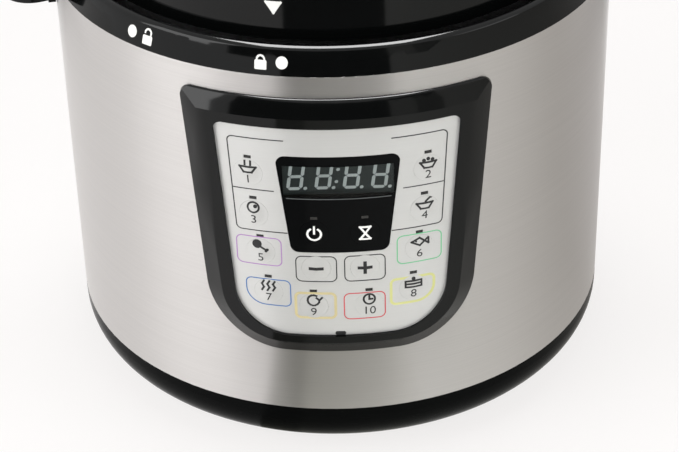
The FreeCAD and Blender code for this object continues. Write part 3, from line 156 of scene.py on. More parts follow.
def finish(name, tint, grain, roughness, bump=0.0, spread=0.08, stretch=(1.0, 1.0, 1.0), radial=False, **sockets):
    """A surface whose tone, roughness and relief all follow one grain of a real size in millimetres."""
    material = bpy.data.materials.get(name)
    if material:
        return material
    material = bpy.data.materials.new(name)
    material.use_nodes = True
    tree = material.node_tree
    tree.nodes.clear()
    place = add_node(tree, "ShaderNodeTexCoord")
    scale = [share / (grain * MM) for share in stretch]
    mapping = add_node(tree, "ShaderNodeMapping", {"Vector": place.outputs["Object"], "Scale": scale})
    noise = add_node(tree, "ShaderNodeTexNoise", {"Vector": mapping.outputs["Vector"], "Scale": 1.0, "Detail": 4.0})
    dark = [channel * (1.0 - spread) for channel in tint[:3]] + [1.0]
    light = [min(1.0, channel * (1.0 + spread)) for channel in tint[:3]] + [1.0]
    tone = add_node(tree, "ShaderNodeMixRGB", {"Fac": noise.outputs["Fac"], "Color1": dark, "Color2": light})
    rough = add_node(tree, "ShaderNodeMapRange", {
        "Value": noise.outputs["Fac"], "To Min": roughness * 0.8, "To Max": roughness * 1.2})
    relief = add_node(tree, "ShaderNodeBump", {
        "Height": noise.outputs["Fac"], "Strength": bump, "Distance": grain * MM * 0.2})
    values = {"Base Color": tone.outputs["Color"], "Roughness": rough.outputs["Result"],
              "Normal": relief.outputs["Normal"]}
    values.update({socket.replace("_", " "): value for socket, value in sockets.items()})
    if radial:
        turn = add_node(tree, "ShaderNodeTangent", direction_type="RADIAL", axis="Z")
        values["Tangent"] = turn.outputs["Tangent"]
    shader = add_node(tree, "ShaderNodeBsdfPrincipled", values)
    add_node(tree, "ShaderNodeOutputMaterial", {"Surface": shader.outputs["BSDF"]})
    return material


def finishes():
    """The finish of each material slot of the record."""
    tints = bpy.context.scene.cooker_colours
    grey = to_linear("#C4C4C6")
    return {
        # Stainless sheet brushed round the body: fine level lines that draw reflections out up and down.
        # Real lines are about 0.1 mm apart, too fine to show here, so they are drawn at 0.5 mm.
        "brushed_steel": finish("brushed stainless steel", tints.steel, 0.5, 0.4, 0.11, 0.09,
                                (0.004, 0.004, 1.0), True, Metallic=1.0, Anisotropic=0.9,
                                Anisotropic_Rotation=0.25),
        # ABS from a polished mould: deep black, mirror-like, with a faint ripple.
        "black_gloss_plastic": finish("gloss black ABS", tints.black, 9.0, 0.08, 0.005, 0.1,
                                      Specular_IOR_Level=0.27),
        # Polypropylene from a spark-textured mould: dull black with a fine grit.
        "black_matte_plastic": finish("textured black polypropylene", to_linear("#18191A"), 0.6, 0.5, 0.2),
        # Clear polycarbonate: see-through with a slight grey cast.
        "clear_plastic": finish("clear polycarbonate", to_linear("#F3F5F5"), 14.0, 0.05, 0.01, 0.02,
                                Transmission_Weight=1.0, IOR=1.5),
        # Pressed stainless steel: satin, with a soft cloudiness from rolling.
        "stamped_steel": finish("pressed stainless steel", grey, 2.5, 0.32, 0.05, 0.05, Metallic=1.0),
        # Zinc-plated steel: bluish, a little blotchy.
        "fastener_steel": finish("zinc-plated steel", to_linear("#B9BCC2"), 0.8, 0.35, 0.05, 0.12, Metallic=1.0),
        # Spun aluminium: pale, with the turning marks of the spinning tool every half millimetre.
        "aluminium": finish("spun aluminium", to_linear("#D6D6D5"), 0.5, 0.34, 0.08, 0.06, (0.02, 0.02, 1.0),
                            True, Metallic=1.0, Anisotropic=0.4),
        # Machined brass: warm yellow with fine tool marks.
        "brass": finish("machined brass", to_linear("#C9A55C"), 0.3, 0.25, 0.05, 0.08, Metallic=1.0),
        # Turned stainless pin: bright, with fine rings.
        "float_metal": finish("turned stainless steel", to_linear("#CBCBCD"), 0.3, 0.22, 0.05, 0.05,
                              (0.1, 0.1, 1.0), Metallic=1.0),
        # Moulded rubber: dull dark grey with a chalky bloom.
        "black_rubber": finish("moulded rubber", to_linear("#1C1C1C"), 1.2, 0.75, 0.15, 0.2),
        # Silicone rubber: milky, soft gloss, light passing a little way in.
        "silicone": finish("milky silicone rubber", to_linear("#DCDCD6"), 3.0, 0.42, 0.04, 0.04,
                           Subsurface_Weight=0.25, Subsurface_Scale=0.004),
        # Sheathed heater tube: steel with a dark heat oxide.
        "heater_tube": finish("oxidised heater sheath", to_linear("#4A4642"), 1.5, 0.45, 0.1, 0.25, Metallic=1.0),
        # Needled glass-fibre felt: cream, fully matt, with loose fibres a millimetre or so apart.
        "glass_fibre": finish("glass-fibre felt", to_linear("#DDD6C2"), 1.4, 0.95, 0.6, 0.12),
        # Glass-epoxy board under green solder mask.
        "circuit_board": finish("green solder mask", to_linear("#1F5B34"), 2.0, 0.35, 0.05, 0.15),
        # Moulded casings of relay and transformer.
        "component_plastic": finish("moulded component casing", to_linear("#232426"), 0.8, 0.5, 0.15),
        # Polyester film printed silver on its back: a bright even silver with a faint level brush.
        "silver_face": finish("silver printed film", tints.silver, 0.4, 0.34, 0.01, 0.035, (0.01, 0.01, 1.0),
                              Metallic=0.4),
        "silver_key": finish("silver printed film", tints.silver, 0.4, 0.3),
        # Smoked acrylic: nearly black with a hard gloss.
        "dark_lens": finish("smoked acrylic", tints.lens, 12.0, 0.06, 0.01, 0.05, Specular_IOR_Level=0.08),
        "dark_key": finish("smoked acrylic", tints.lens, 12.0, 0.06),
        # Epoxy-filled display: dark grey, half gloss.
        "display_module": finish("epoxy display face", tints.display, 1.5, 0.3, 0.02, 0.08),
        # Smoked light pipe: dark bar with a soft gloss.
        "light_bar": finish("smoked light pipe", to_linear("#2B2A29"), 1.0, 0.25, 0.02, 0.1),
    }


def seen_directly(tree):
    """1 for rays from the camera, from gloss and through glass, and 0 for the rest."""
    light = add_node(tree, "ShaderNodeLightPath")
    gloss = add_node(tree, "ShaderNodeMath", {
        0: light.outputs["Is Camera Ray"], 1: light.outputs["Is Glossy Ray"]}, operation="MAXIMUM")
    glass = add_node(tree, "ShaderNodeMath", {
        0: gloss.outputs[0], 1: light.outputs["Is Transmission Ray"]}, operation="MAXIMUM")
    return glass.outputs[0]


def pane():
    """Thin smoked acrylic: dims what lies behind it and mirrors a little."""
    material = bpy.data.materials.new("smoked clear acrylic")
    material.use_nodes = True
    tree = material.node_tree
    tree.nodes.clear()
    place = add_node(tree, "ShaderNodeTexCoord")
    cloud = add_node(tree, "ShaderNodeTexNoise", {"Vector": place.outputs["Object"], "Scale": 80.0})
    tint = add_node(tree, "ShaderNodeMixRGB", {
        "Fac": cloud.outputs["Fac"], "Color1": to_linear("#DFE2E2"), "Color2": to_linear("#E6E9E9")})
    clear = add_node(tree, "ShaderNodeBsdfTransparent", {"Color": tint.outputs["Color"]})
    gloss = add_node(tree, "ShaderNodeBsdfGlossy", {"Roughness": 0.05})
    edge = add_node(tree, "ShaderNodeFresnel", {"IOR": 1.3})
    mixed = add_node(tree, "ShaderNodeMixShader", {
        0: edge.outputs["Fac"], 1: clear.outputs["BSDF"], 2: gloss.outputs["BSDF"]})
    add_node(tree, "ShaderNodeOutputMaterial", {"Surface": mixed.outputs["Shader"]})
    return material


def ink(tint_name):
    """Screen-printed ink: flat, dull, with a slight mottle from the mesh, about 0.3 mm."""
    tint = getattr(bpy.context.scene.cooker_colours, tint_name)
    return finish(f"screen ink {tint_name}", tint, 0.3, 0.5, 0.03, 0.04)


def deselect():
    bpy.ops.object.select_all(action="DESELECT")


def only(piece):
    """Leaves one piece selected and active."""
    deselect()
    piece.select_set(True)
    bpy.context.view_layer.objects.active = piece


def settle():
    """Puts the place of the piece just added into its mesh."""
    bpy.ops.object.transform_apply(location=True, rotation=True, scale=True)
    return bpy.context.active_object


def modify(piece, kind, **settings):
    """Adds a modifier and applies it."""
    only(piece)
    modifier = piece.modifiers.new(kind.lower(), kind)
    for name, value in settings.items():
        setattr(modifier, name, value)
    bpy.ops.object.modifier_apply(modifier=modifier.name)
    return piece


def combine(piece, other, operation):
    return modify(piece, "BOOLEAN", object=other, operation=operation, solver="EXACT", use_self=True)


def discard(piece):
    bpy.data.objects.remove(piece)


def join(pieces):
    deselect()
    for piece in pieces:
        piece.select_set(True)
    bpy.context.view_layer.objects.active = pieces[0]
    if len(pieces) > 1:
        bpy.ops.object.join()
    return pieces[0]


def pick(piece, wanted):
    """In edit mode, selects the faces that a test picks, and only those."""
    bpy.ops.mesh.select_mode(type="FACE")
    bpy.ops.mesh.select_all(action="DESELECT")
    mesh = bmesh.from_edit_mesh(piece.data)
    for face in mesh.faces:
        face.select_set(wanted(face))
    bmesh.update_edit_mesh(piece.data)


def ride(piece, name, body, material, angle=30.0):
    """Names a finished piece, shades it, gives it its material and lets it move with a body."""
    only(piece)
    # Cuts leave slivers a few thousandths of a millimetre wide, which close up here
    sliver = 0.003 * MM
    bpy.ops.object.mode_set(mode="EDIT")
    bpy.ops.mesh.select_all(action="SELECT")
    bpy.ops.mesh.remove_doubles(threshold=sliver)
    bpy.ops.mesh.dissolve_degenerate(threshold=sliver)
    bpy.ops.object.mode_set(mode="OBJECT")
    bpy.ops.object.shade_smooth_by_angle(angle=math.radians(angle))
    piece.name = piece.data.name = name
    piece.data.materials.clear()
    piece.data.materials.append(material)
    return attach(piece, body)


def skin(low_radius, high_radius, low, high):
    """A thin round wall astride a surface, which gives ink its curve."""
    deselect()
    bpy.ops.mesh.primitive_cone_add(vertices=SKIN_SIDES, radius1=low_radius, radius2=high_radius,
                                    depth=high - low, end_fill_type="NOTHING", location=(0, 0, (low + high) / 2))
    wall = settle()
    thick = bpy.context.scene.cooker_sizes.ink_lift * 2
    return modify(wall, "SOLIDIFY", thickness=thick, offset=0.0)


def stroke(start, end, wide):
    """A straight stroke of ink between two points (across, up), as a block through the surface."""
    (x0, z0), (x1, z1) = start, end
    deselect()
    bpy.ops.mesh.primitive_cube_add(
        size=1, location=((x0 + x1) / 2, INK_MIDDLE, (z0 + z1) / 2), rotation=(0, -math.atan2(z1 - z0, x1 - x0), 0),
        scale=(math.hypot(x1 - x0, z1 - z0) + wide, INK_DEEP, wide))
    return settle()


def dot(centre, radius):
    """A round dot of ink through the surface."""
    deselect()
    bpy.ops.mesh.primitive_cylinder_add(vertices=40, radius=radius, depth=INK_DEEP, rotation=(math.pi / 2, 0, 0),
                                        location=(centre[0], INK_MIDDLE, centre[1]))
    return settle()


def plate(centre, size, corners, segments=6, wide=None):
    """A rectangle with rounded corners (lower left, lower right, upper right, upper left), or its outline."""
    deselect()
    bpy.ops.mesh.primitive_plane_add(size=1, location=(centre[0], INK_MIDDLE - INK_DEEP / 2, centre[1]),
                                     rotation=(math.pi / 2, 0, 0))
    piece = bpy.context.active_object
    piece.scale = (size[0], size[1], 1)
    settle()
    bpy.ops.object.mode_set(mode="EDIT")
    bpy.ops.mesh.select_mode(type="VERT")
    signs = ((-1, -1), (1, -1), (1, 1), (-1, 1))
    for (side, end), radius in zip(signs, corners):
        spot = Vector((centre[0] + side * size[0] / 2, INK_MIDDLE - INK_DEEP / 2, centre[1] + end * size[1] / 2))
        bpy.ops.mesh.select_all(action="DESELECT")
        mesh = bmesh.from_edit_mesh(piece.data)
        min(mesh.verts, key=lambda vertex: (vertex.co - spot).length).select_set(True)
        bmesh.update_edit_mesh(piece.data)
        if radius:
            bpy.ops.mesh.bevel(affect="VERTICES", offset=radius, segments=segments, offset_type="OFFSET")
    bpy.ops.mesh.select_mode(type="FACE")
    bpy.ops.mesh.select_all(action="SELECT")
    if wide:
        bpy.ops.mesh.inset(thickness=wide, use_boundary=True)
        bpy.ops.mesh.delete(type="FACE")
        bpy.ops.mesh.select_all(action="SELECT")
    bpy.ops.mesh.extrude_region_move(TRANSFORM_OT_translate={"value": (0, INK_DEEP, 0)})
    bpy.ops.mesh.select_all(action="SELECT")
    bpy.ops.mesh.normals_make_consistent(inside=False)
    bpy.ops.object.mode_set(mode="OBJECT")
    return piece


def hoop(centre, radius, wide):
    """A ring of ink."""
    outer = dot(centre, radius)
    inner = dot(centre, radius - wide)
    combine(outer, inner, "DIFFERENCE")
    discard(inner)
    return outer


def numeral(text, centre, tall):
    """A plain number in ink, centred on a point (across, up)."""
    deselect()
    bpy.ops.object.text_add(location=(centre[0], INK_MIDDLE, centre[1]), rotation=(math.pi / 2, 0, 0))
    lettering = bpy.context.active_object
    lettering.data.body = text
    lettering.data.size = tall * 1.4
    lettering.data.align_x = "CENTER"
    lettering.data.align_y = "CENTER"
    lettering.data.extrude = INK_DEEP / 2
    lettering.data.resolution_u = 4
    bpy.ops.object.convert(target="MESH")
    piece = settle()
    bpy.ops.object.mode_set(mode="EDIT")
    bpy.ops.mesh.select_all(action="SELECT")
    bpy.ops.mesh.remove_doubles(threshold=0.00001)
    bpy.ops.mesh.normals_make_consistent(inside=False)
    bpy.ops.object.mode_set(mode="OBJECT")
    return piece


def printed(strokes, wall, name, body, material):
    """Joins strokes of ink and leaves what lies in a skin."""
    piece = combine(join(strokes), wall, "INTERSECT")
    if not piece.data.polygons:
        raise RuntimeError(f"{name} missed its surface")
    return ride(piece, name, body, material)


def in_mm(*points):
    return [(x * MM, z * MM) for x, z in points]


def path(points, wide):
    """Strokes along points (across, up) in millimetres."""
    spots = in_mm(*points)
    return [stroke(first, second, wide) for first, second in zip(spots, spots[1:])]


BOWL = ((-3.2, 2.7), (3.2, 2.7), (1.6, 0.4), (-1.6, 0.4), (-3.2, 2.7))


def bowl(wide):
    return path(BOWL, wide)


def soup_mark(wide):
    """Bowl with two wisps of steam."""
    return bowl(wide) + path(((-1.1, 3.6), (-1.1, 5.3)), wide) + path(((1.1, 3.6), (1.1, 5.3)), wide)


def rice_mark(wide):
    """Bowl heaped with grains."""
    return bowl(wide) + [dot(spot, 0.75 * MM) for spot in in_mm((-1.7, 3.6), (0, 4.1), (1.7, 3.6))]


def meat_mark(wide):
    """Round cut with its bone."""
    return [hoop(spot, 2.6 * MM, wide) for spot in in_mm((0, 2.8))] + [dot((0.8 * MM, 3.3 * MM), 0.8 * MM)]


def porridge_mark(wide):
    """Bowl with a spoon."""
    return bowl(wide) + path(((0.4, 3.4), (2.4, 5.0)), wide) + [dot((2.6 * MM, 5.1 * MM), 0.7 * MM)]


def chicken_mark(wide):
    """Drumstick."""
    return [dot(spot, radius * MM) for spot, radius in zip(
        in_mm((-1.3, 3.4), (2.7, 1.1), (2.2, 0.5)), (1.9, 0.6, 0.6))] + path(((0, 2.4), (2.3, 0.9)), wide)


def fish_mark(wide):
    """Body, tail and eye."""
    body = path(((2.0, 2.7), (0, 4.3), (-3.2, 2.7), (0, 1.1), (2.0, 2.7), (3.6, 4.0), (3.6, 1.4), (2.0, 2.7)), wide)
    return body + [dot((-1.4 * MM, 2.9 * MM), 0.4 * MM)]


def steam_mark(wide):
    """Three wavering lines."""
    strokes = []
    for x in (-2.2, 0, 2.2):
        strokes += path(((x - 0.4, 0.6), (x + 0.4, 2.0), (x - 0.4, 3.4), (x + 0.4, 4.8)), wide)
    return strokes


def cake_mark(wide):
    """Two layers and a cherry."""
    side = path(((-3.2, 0.5), (3.2, 0.5), (3.2, 3.2), (-3.2, 3.2), (-3.2, 0.5)), wide)
    return side + path(((-3.2, 1.9), (3.2, 1.9)), wide) + [dot((0, 4.2 * MM), 0.8 * MM)]


def arc(centre, radius, start, end, steps):
    """Points (across, up) on an arc, by angles in degrees."""
    turns = [math.radians(start + (end - start) * step / steps) for step in range(steps + 1)]
    return [(centre[0] + radius * math.cos(turn), centre[1] + radius * math.sin(turn)) for turn in turns]


def reheat_mark(wide):
    """Arrow that goes round."""
    return path(arc((0, 2.8), 2.3, 60, 360, 12), wide) + path(((1.2, 3.8), (2.3, 2.8), (3.3, 3.9)), wide)


def slow_mark(wide):
    """Clock."""
    return [hoop((0, 2.8 * MM), 2.6 * MM, wide)] + path(((0, 4.3), (0, 2.8), (1.2, 2.8)), wide)


def standby_mark(wide):
    """Open ring and a bar, the usual sign for stand-by."""
    return path(arc((0, 0), 2.6, 125, 415, 14), wide) + path(((0, 0.4), (0, 3.2)), wide)


def timer_mark(wide):
    """Hourglass."""
    return path(((-2, 2.7), (2, 2.7), (-2, -2.7), (2, -2.7), (-2, 2.7)), wide)


def minus_mark(wide):
    return path(((-2.2, 0), (2.2, 0)), wide * 1.7)


def plus_mark(wide):
    return minus_mark(wide) + path(((0, -2.2), (0, 2.2)), wide * 1.7)


KEY_MARKS = {
    "soup_key": (soup_mark, "1"), "rice_key": (rice_mark, "2"),
    "meat_key": (meat_mark, "3"), "porridge_key": (porridge_mark, "4"),
    "chicken_key": (chicken_mark, "5"), "fish_key": (fish_mark, "6"),
    "steam_key": (steam_mark, "7"), "cake_key": (cake_mark, "8"),
    "reheat_key": (reheat_mark, "9"), "slow_cook_key": (slow_mark, "10"),
    "minus_key": (minus_mark, None), "plus_key": (plus_mark, None),
    "cancel_key": (standby_mark, None), "timer_key": (timer_mark, None),
}


def key_places():
    """Each key with its turn about the body's axis and its height."""
    for left, right, turn, height in KEY_ROWS:
        yield left, math.radians(-turn), height * MM
        yield right, math.radians(turn), height * MM


def put_on_face(piece, turn, height):
    """Carries a piece made at the front of the panel, at height 0, to its key."""
    only(piece)
    piece.rotation_euler = (0, 0, turn)
    piece.location = (0, 0, height)
    return settle()


def make_dome():
    """A key dome at the front, at height 0: a soft pillow on a plug."""
    sizes = bpy.context.scene.cooker_sizes
    radius = KEY_HOLE_RADIUS - sizes.dome_gap
    form = skin(FACE_RADIUS, FACE_RADIUS, -radius * 2, radius * 2)
    deselect()
    bpy.ops.mesh.primitive_circle_add(vertices=64, radius=radius, fill_type="NGON",
                                      location=(0, -FACE_RADIUS * 1.1, 0), rotation=(math.pi / 2, 0, 0))
    piece = settle()
    modify(piece, "SHRINKWRAP", target=form, wrap_method="PROJECT", use_project_y=True)
    discard(form)
    bpy.ops.object.mode_set(mode="EDIT")
    bpy.ops.mesh.select_all(action="SELECT")
    bpy.ops.mesh.extrude_region_move(TRANSFORM_OT_translate={"value": (0, sizes.dome_deep, 0)})
    bpy.ops.mesh.select_all(action="SELECT")
    bpy.ops.mesh.normals_make_consistent(inside=False)
    pick(piece, lambda face: face.normal.y < -0.9)
    rings = 7
    for ring in range(1, rings):
        before, now = (1 - (1 - step / rings) ** 2 for step in (ring - 1, ring))
        rise = sizes.dome_tall * (now ** 2 - before ** 2)
        bpy.ops.mesh.inset(thickness=radius / rings, depth=rise)
    bpy.ops.mesh.poke()
    bpy.ops.object.mode_set(mode="OBJECT")
    return piece


def copy_of(piece):
    """A copy with its own mesh."""
    twin = bpy.data.objects.new(piece.name, piece.data.copy())
    bpy.context.scene.collection.objects.link(twin)
    return twin


def welded(piece):
    """Joins the split edges of a copied solid, and merges its flat faces."""
    only(piece)
    bpy.ops.mesh.customdata_custom_splitnormals_clear()
    bpy.ops.object.mode_set(mode="EDIT")
    bpy.ops.mesh.select_all(action="SELECT")
    bpy.ops.mesh.remove_doubles(threshold=0.000001)
    bpy.ops.mesh.dissolve_limited(angle_limit=math.radians(0.5))
    bpy.ops.object.mode_set(mode="OBJECT")
    return piece


class COOKER_OT_finishes(bpy.types.Operator):
    """Gives each solid its finish"""
    bl_idname = "cooker.finishes"
    bl_label = "Finishes"

    def execute(self, context):
        by_slot = finishes()
        for part in frame["record"]["subparts"]:
            mesh = frame["nodes"][part["node"]].data
            mesh.materials.clear()
            mesh.materials.append(by_slot[part["material_slot"]])
        # Polypropylene from a plain mould: black, with a softer and weaker gloss than the ring
        satin = finish("satin black polypropylene", context.scene.cooker_colours.black, 2.0, 0.22, 0.03, 0.1,
                       Specular_IOR_Level=0.03)
        frame["nodes"]["base_shell"].data.materials[0] = satin
        return {"FINISHED"}


class COOKER_OT_key_domes(bpy.types.Operator):
    """Puts a soft dome in the place of each plain key"""
    bl_idname = "cooker.key_domes"
    bl_label = "Key domes"

    def execute(self, context):
        by_slot = finishes()
        pattern = make_dome()
        for key, turn, height in key_places():
            slot = "dark_key" if key in WINDOW_KEYS else "silver_key"
            dome = put_on_face(copy_of(pattern), turn, height)
            ride(dome, key + "_dome", key, by_slot[slot])
            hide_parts(key)
        discard(pattern)
        return {"FINISHED"}


class COOKER_OT_key_marks(bpy.types.Operator):
    """Prints a small picture and a number on each key"""
    bl_idname = "cooker.key_marks"
    bl_label = "Key marks"

    def execute(self, context):
        sizes = context.scene.cooker_sizes
        wall = make_dome()
        only(wall)
        bpy.ops.object.mode_set(mode="EDIT")
        pick(wall, lambda face: face.normal.y > -0.8)
        bpy.ops.mesh.delete(type="FACE")
        bpy.ops.object.mode_set(mode="OBJECT")
        modify(wall, "SOLIDIFY", thickness=sizes.ink_lift * 2, offset=0.0)
        for key, turn, height in key_places():
            draw, number = KEY_MARKS[key]
            strokes = draw(0.8 * MM)
            if number:
                strokes.append(numeral(number, (0, -2.7 * MM), 3.8 * MM))
            tint = "white" if key in WINDOW_KEYS else "ink"
            drawing = join(strokes)
            drawing.data.transform(Matrix.Diagonal((1.2, 1.0, 1.2, 1.0)))
            mark = printed([drawing], wall, key + "_mark", key, ink(tint))
            mark.parent = None
            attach(put_on_face(mark, turn, height), key)
        discard(wall)
        return {"FINISHED"}


class COOKER_OT_panel_lines(bpy.types.Operator):
    """Prints the lines round the keys"""
    bl_idname = "cooker.panel_lines"
    bl_label = "Panel lines"

    def execute(self, context):
        sizes = context.scene.cooker_sizes
        wall = skin(FACE_RADIUS, FACE_RADIUS, 0.07, 0.2)
        thin, broad = sizes.line_wide, sizes.band_wide
        lines = []
        for side in (1, -1):
            corner = arc((-46.8, 180.6), 2.4, 90, 180, 5)
            foot = arc((-44.6, 136.4), 2.4, 183, 270, 5)
            group = [(-24.2, 183.0)] + corner + foot + [(-24.0, 134.0)]
            lines += path([(x * side, z) for x, z in group], thin)
            lines += path(((-47.4 * side, 156.1), (-29.4 * side, 156.1)), thin)
        small = [3.0 * MM] * 4
        lines += [plate((side * 11.2 * MM, 114.8 * MM), (19.2 * MM, 14.4 * MM), small, 6, thin) for side in (-1, 1)]
        lines.append(plate((-0.7 * MM, 78.4 * MM), (5.0 * MM, 2.2 * MM), [0.9 * MM] * 4))
        printed(lines, wall, "panel_lines", "base", ink("ink"))
        bend = 9.0 * MM
        outlines = (
            ("purple", (-37.2, 122.9), (21.0, 15.6), small, thin),
            ("green", (36.4, 122.5), (21.0, 15.8), small, thin),
            ("blue", (-33.7, 100.2), (21.0, 15.0), [bend] + small[1:], thin),
            ("yellow", (33.2, 99.6), (21.4, 15.2), [small[0], bend] + small[2:], broad),
            ("orange", (-12.0, 94.2), (19.8, 15.2), small, broad),
            ("red", (10.8, 93.6), (19.6, 15.0), small, thin),
        )
        for tint, centre, size, corners, wide in outlines:
            shape = plate(in_mm(centre)[0], in_mm(size)[0], corners, 8, wide)
            printed([shape], wall, tint + "_outline", "base", ink(tint))
        discard(wall)
        return {"FINISHED"}


class COOKER_OT_display(bpy.types.Operator):
    """Cuts a clear pane in the window and draws the display's unlit segments behind it"""
    bl_idname = "cooker.display"
    bl_label = "Display"

    def execute(self, context):
        sizes = context.scene.cooker_sizes
        by_slot = finishes()
        low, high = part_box("led_display")
        middle = (low.z + high.z) / 2
        self.window(by_slot)
        strokes = []
        for place in (-1.5, -0.5, 0.5, 1.5):
            strokes += self.digit(sizes, place * sizes.digit_pitch)
        strokes += [dot((-0.4 * MM, end * 3.2 * MM), 0.8 * MM) for end in (-1, 1)]
        digits = join(strokes)
        slant = Matrix.Identity(4)
        slant[0][2] = math.tan(math.radians(8.0))
        thin = Matrix.Diagonal((1.0, sizes.ink_lift * 2 / INK_DEEP, 1.0, 1.0))
        to_front = Matrix.Translation((0, -INK_MIDDLE, 0))
        digits.data.transform(Matrix.Translation((0, low.y, middle)) @ thin @ slant @ to_front)
        # Clouded resin over each lamp: pale, with a weak painted glow, an emission that stands in for the light that it
        # catches
        pale = context.scene.cooker_colours.segment
        resin = finish("clouded segment resin", pale, 0.8, 0.4, 0.02, 0.06, Emission_Color=pale, Emission_Strength=0.35)
        ride(digits, "display_segments", "base", resin)
        wall = skin(FACE_RADIUS, FACE_RADIUS, 0.12, 0.18)
        line = path(((-23.6, 152.9), (23.6, 152.9)), 0.4 * MM)
        printed(line, wall, "display_edge", "base", ink("edge"))
        discard(wall)
        return {"FINISHED"}

    def window(self, by_slot):
        """Parts the window into a black surround and a clear pane before the display."""
        node = frame["nodes"]["display_window"]
        low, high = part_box("display_window")
        deselect()
        bpy.ops.mesh.primitive_cube_add(size=1, location=(0, -FACE_RADIUS, 161.9 * MM),
                                        scale=(50.2 * MM, 30 * MM, 16.2 * MM))
        box = settle()
        for name, operation, material in (("window_surround", "DIFFERENCE", by_slot["dark_lens"]),
                                          ("window_pane", "INTERSECT", pane())):
            piece = welded(copy_of(node))
            combine(piece, box, operation)
            ride(piece, name, "base", material, 40.0)
            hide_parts("display_window")
        discard(box)

    def digit(self, sizes, x):
        """Seven segments and a point, about height 0."""
        half = (sizes.digit_wide - sizes.segment_wide) / 2
        tall = (sizes.digit_tall - sizes.segment_wide) / 2
        thick = sizes.segment_wide
        ends = [thick / 2 * 0.96] * 4
        across = (half * 2 - thick * 0.25, thick)
        upright = (thick, tall - thick * 0.25)
        pieces = [plate((x, height), across, ends, 1) for height in (-tall, 0, tall)]
        for side in (-1, 1):
            pieces += [plate((x + side * half, end * tall / 2), upright, ends, 1) for end in (-1, 1)]
        pieces.append(dot((x + half + thick * 1.4, -tall), thick * 0.55))
        return pieces


class COOKER_OT_lock_marks(bpy.types.Operator):
    """Prints the dots and padlocks on the ring, and the arrow on the lid"""
    bl_idname = "cooker.lock_marks"
    bl_label = "Lock marks"

    def execute(self, context):
        white = ink("white")
        wall = skin(STEEL_RADIUS, RIM_RADIUS, RING_LOW, RING_HIGH)
        for name, turn, lift in (("closed", -10.0, 0.0), ("open", -42.5, 0.9)):
            strokes = [dot((0, 219.2 * MM), 2.7 * MM)]
            side = -9.5 if name == "closed" else 9.5
            strokes.append(plate((side * MM, 217.8 * MM), (5.4 * MM, 4.0 * MM), [0.5 * MM] * 4))
            shackle = arc((side, 220.0 + lift), 1.7, 0, 180, 8)
            if name == "closed":
                shackle.append((side - 1.7, 219.0))
            strokes += path([(side + 1.7, 219.0)] + shackle, 0.8 * MM)
            mark = printed(strokes, wall, name + "_mark", "base", white)
            mark.parent = None
            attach(put_on_face(mark, math.radians(turn), 0), "base")
        discard(wall)
        wall = skin(LID_RADIUS, LID_RADIUS, 0.228, 0.248)
        half, low, high = 3.4, 237.2, 242.6
        fill = [stroke((0, (low + 1) * MM), (0, (high - 0.5) * MM), 1.2 * MM)]
        arrow = path(((0, low), (half, high), (-half, high), (0, low)), 0.9 * MM)
        arrow += path(((0, low + 2), (half - 1.6, high - 0.8), (1.6 - half, high - 0.8), (0, low + 2)), 1.3 * MM)
        mark = printed(arrow + fill, wall, "lid_arrow", "lid", white)
        mark.parent = None
        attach(put_on_face(mark, math.radians(-12.4), 0), "lid")
        discard(wall)
        return {"FINISHED"}


class COOKER_OT_soft_edges(bpy.types.Operator):
    """Rounds the sharp edges of the plain mouldings at the back and on the lid"""
    bl_idname = "cooker.soft_edges"
    bl_label = "Soft edges"

    def execute(self, context):
        edge = context.scene.cooker_sizes.soft_edge
        by_slot = finishes()
        slots = {part["node"]: part["material_slot"] for part in frame["record"]["subparts"]}
        bodies = {node: body for body, nodes in frame["record"]["behaviour"]["bodies"].items() for node in nodes}
        for node, foot, brow, rounding in (
                ("top_ring", (STEEL_RADIUS, RING_LOW), (RIM_RADIUS, RING_HIGH), 2.6),
                ("panel_frame", (141.5 * MM, 195.0 * MM), (136.9 * MM, 203.0 * MM), 1.3)):
            limit = self.rounded_cone(foot, brow, rounding * MM)
            piece = combine(welded(copy_of(frame["nodes"][node])), limit, "INTERSECT")
            discard(limit)
            ride(piece, node + "_moulding", bodies[node], by_slot[slots[node]], 25.0)
            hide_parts(node)
        for node, share in (("condensation_cup", 1.2), ("cup_bracket", 0.5), ("power_inlet", 1.0),
                            ("steam_valve_knob", 1.5), ("inlet_pins", 0.4)):
            piece = welded(copy_of(frame["nodes"][node]))
            modify(piece, "BEVEL", width=edge * share, segments=3, limit_method="ANGLE",
                   angle_limit=math.radians(40), use_clamp_overlap=True)
            ride(piece, node + "_moulding", bodies[node], by_slot[slots[node]], 40.0)
            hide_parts(node)
        return {"FINISHED"}

    def rounded_cone(self, foot, brow, rounding):
        """A cone along the slope from foot to brow (radius, height), with a round edge at its top."""
        slack = 0.04 * MM
        slope = (foot[0] - brow[0]) / (brow[1] - foot[1])
        low, high = 40.0 * MM, brow[1] + slack
        deselect()
        bpy.ops.mesh.primitive_cone_add(
            vertices=264, radius1=brow[0] + slack + (high - low) * slope, radius2=brow[0] + slack,
            depth=high - low, location=(0, 0, (low + high) / 2))
        cone = settle()
        bpy.ops.object.mode_set(mode="EDIT")
        pick(cone, lambda face: face.normal.z > 0.99)
        bpy.ops.mesh.bevel(offset=rounding, segments=8, offset_type="OFFSET")
        bpy.ops.object.mode_set(mode="OBJECT")
        return cone


class COOKER_OT_probe_spring(bpy.types.Operator):
    """Makes a rounded copy of the spring under the temperature probe"""
    bl_idname = "cooker.probe_spring"
    bl_label = "Probe spring"

    def execute(self, context):
        spring = welded(copy_of(frame["nodes"]["sensor_spring"]))
        modify(spring, "BEVEL", width=0.2 * MM, segments=3, limit_method="ANGLE", angle_limit=math.radians(40))
        ride(spring, "probe_spring", "base", finishes()["stamped_steel"], 40.0)
        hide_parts("sensor_spring")
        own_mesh(spring)
        return {"FINISHED"}


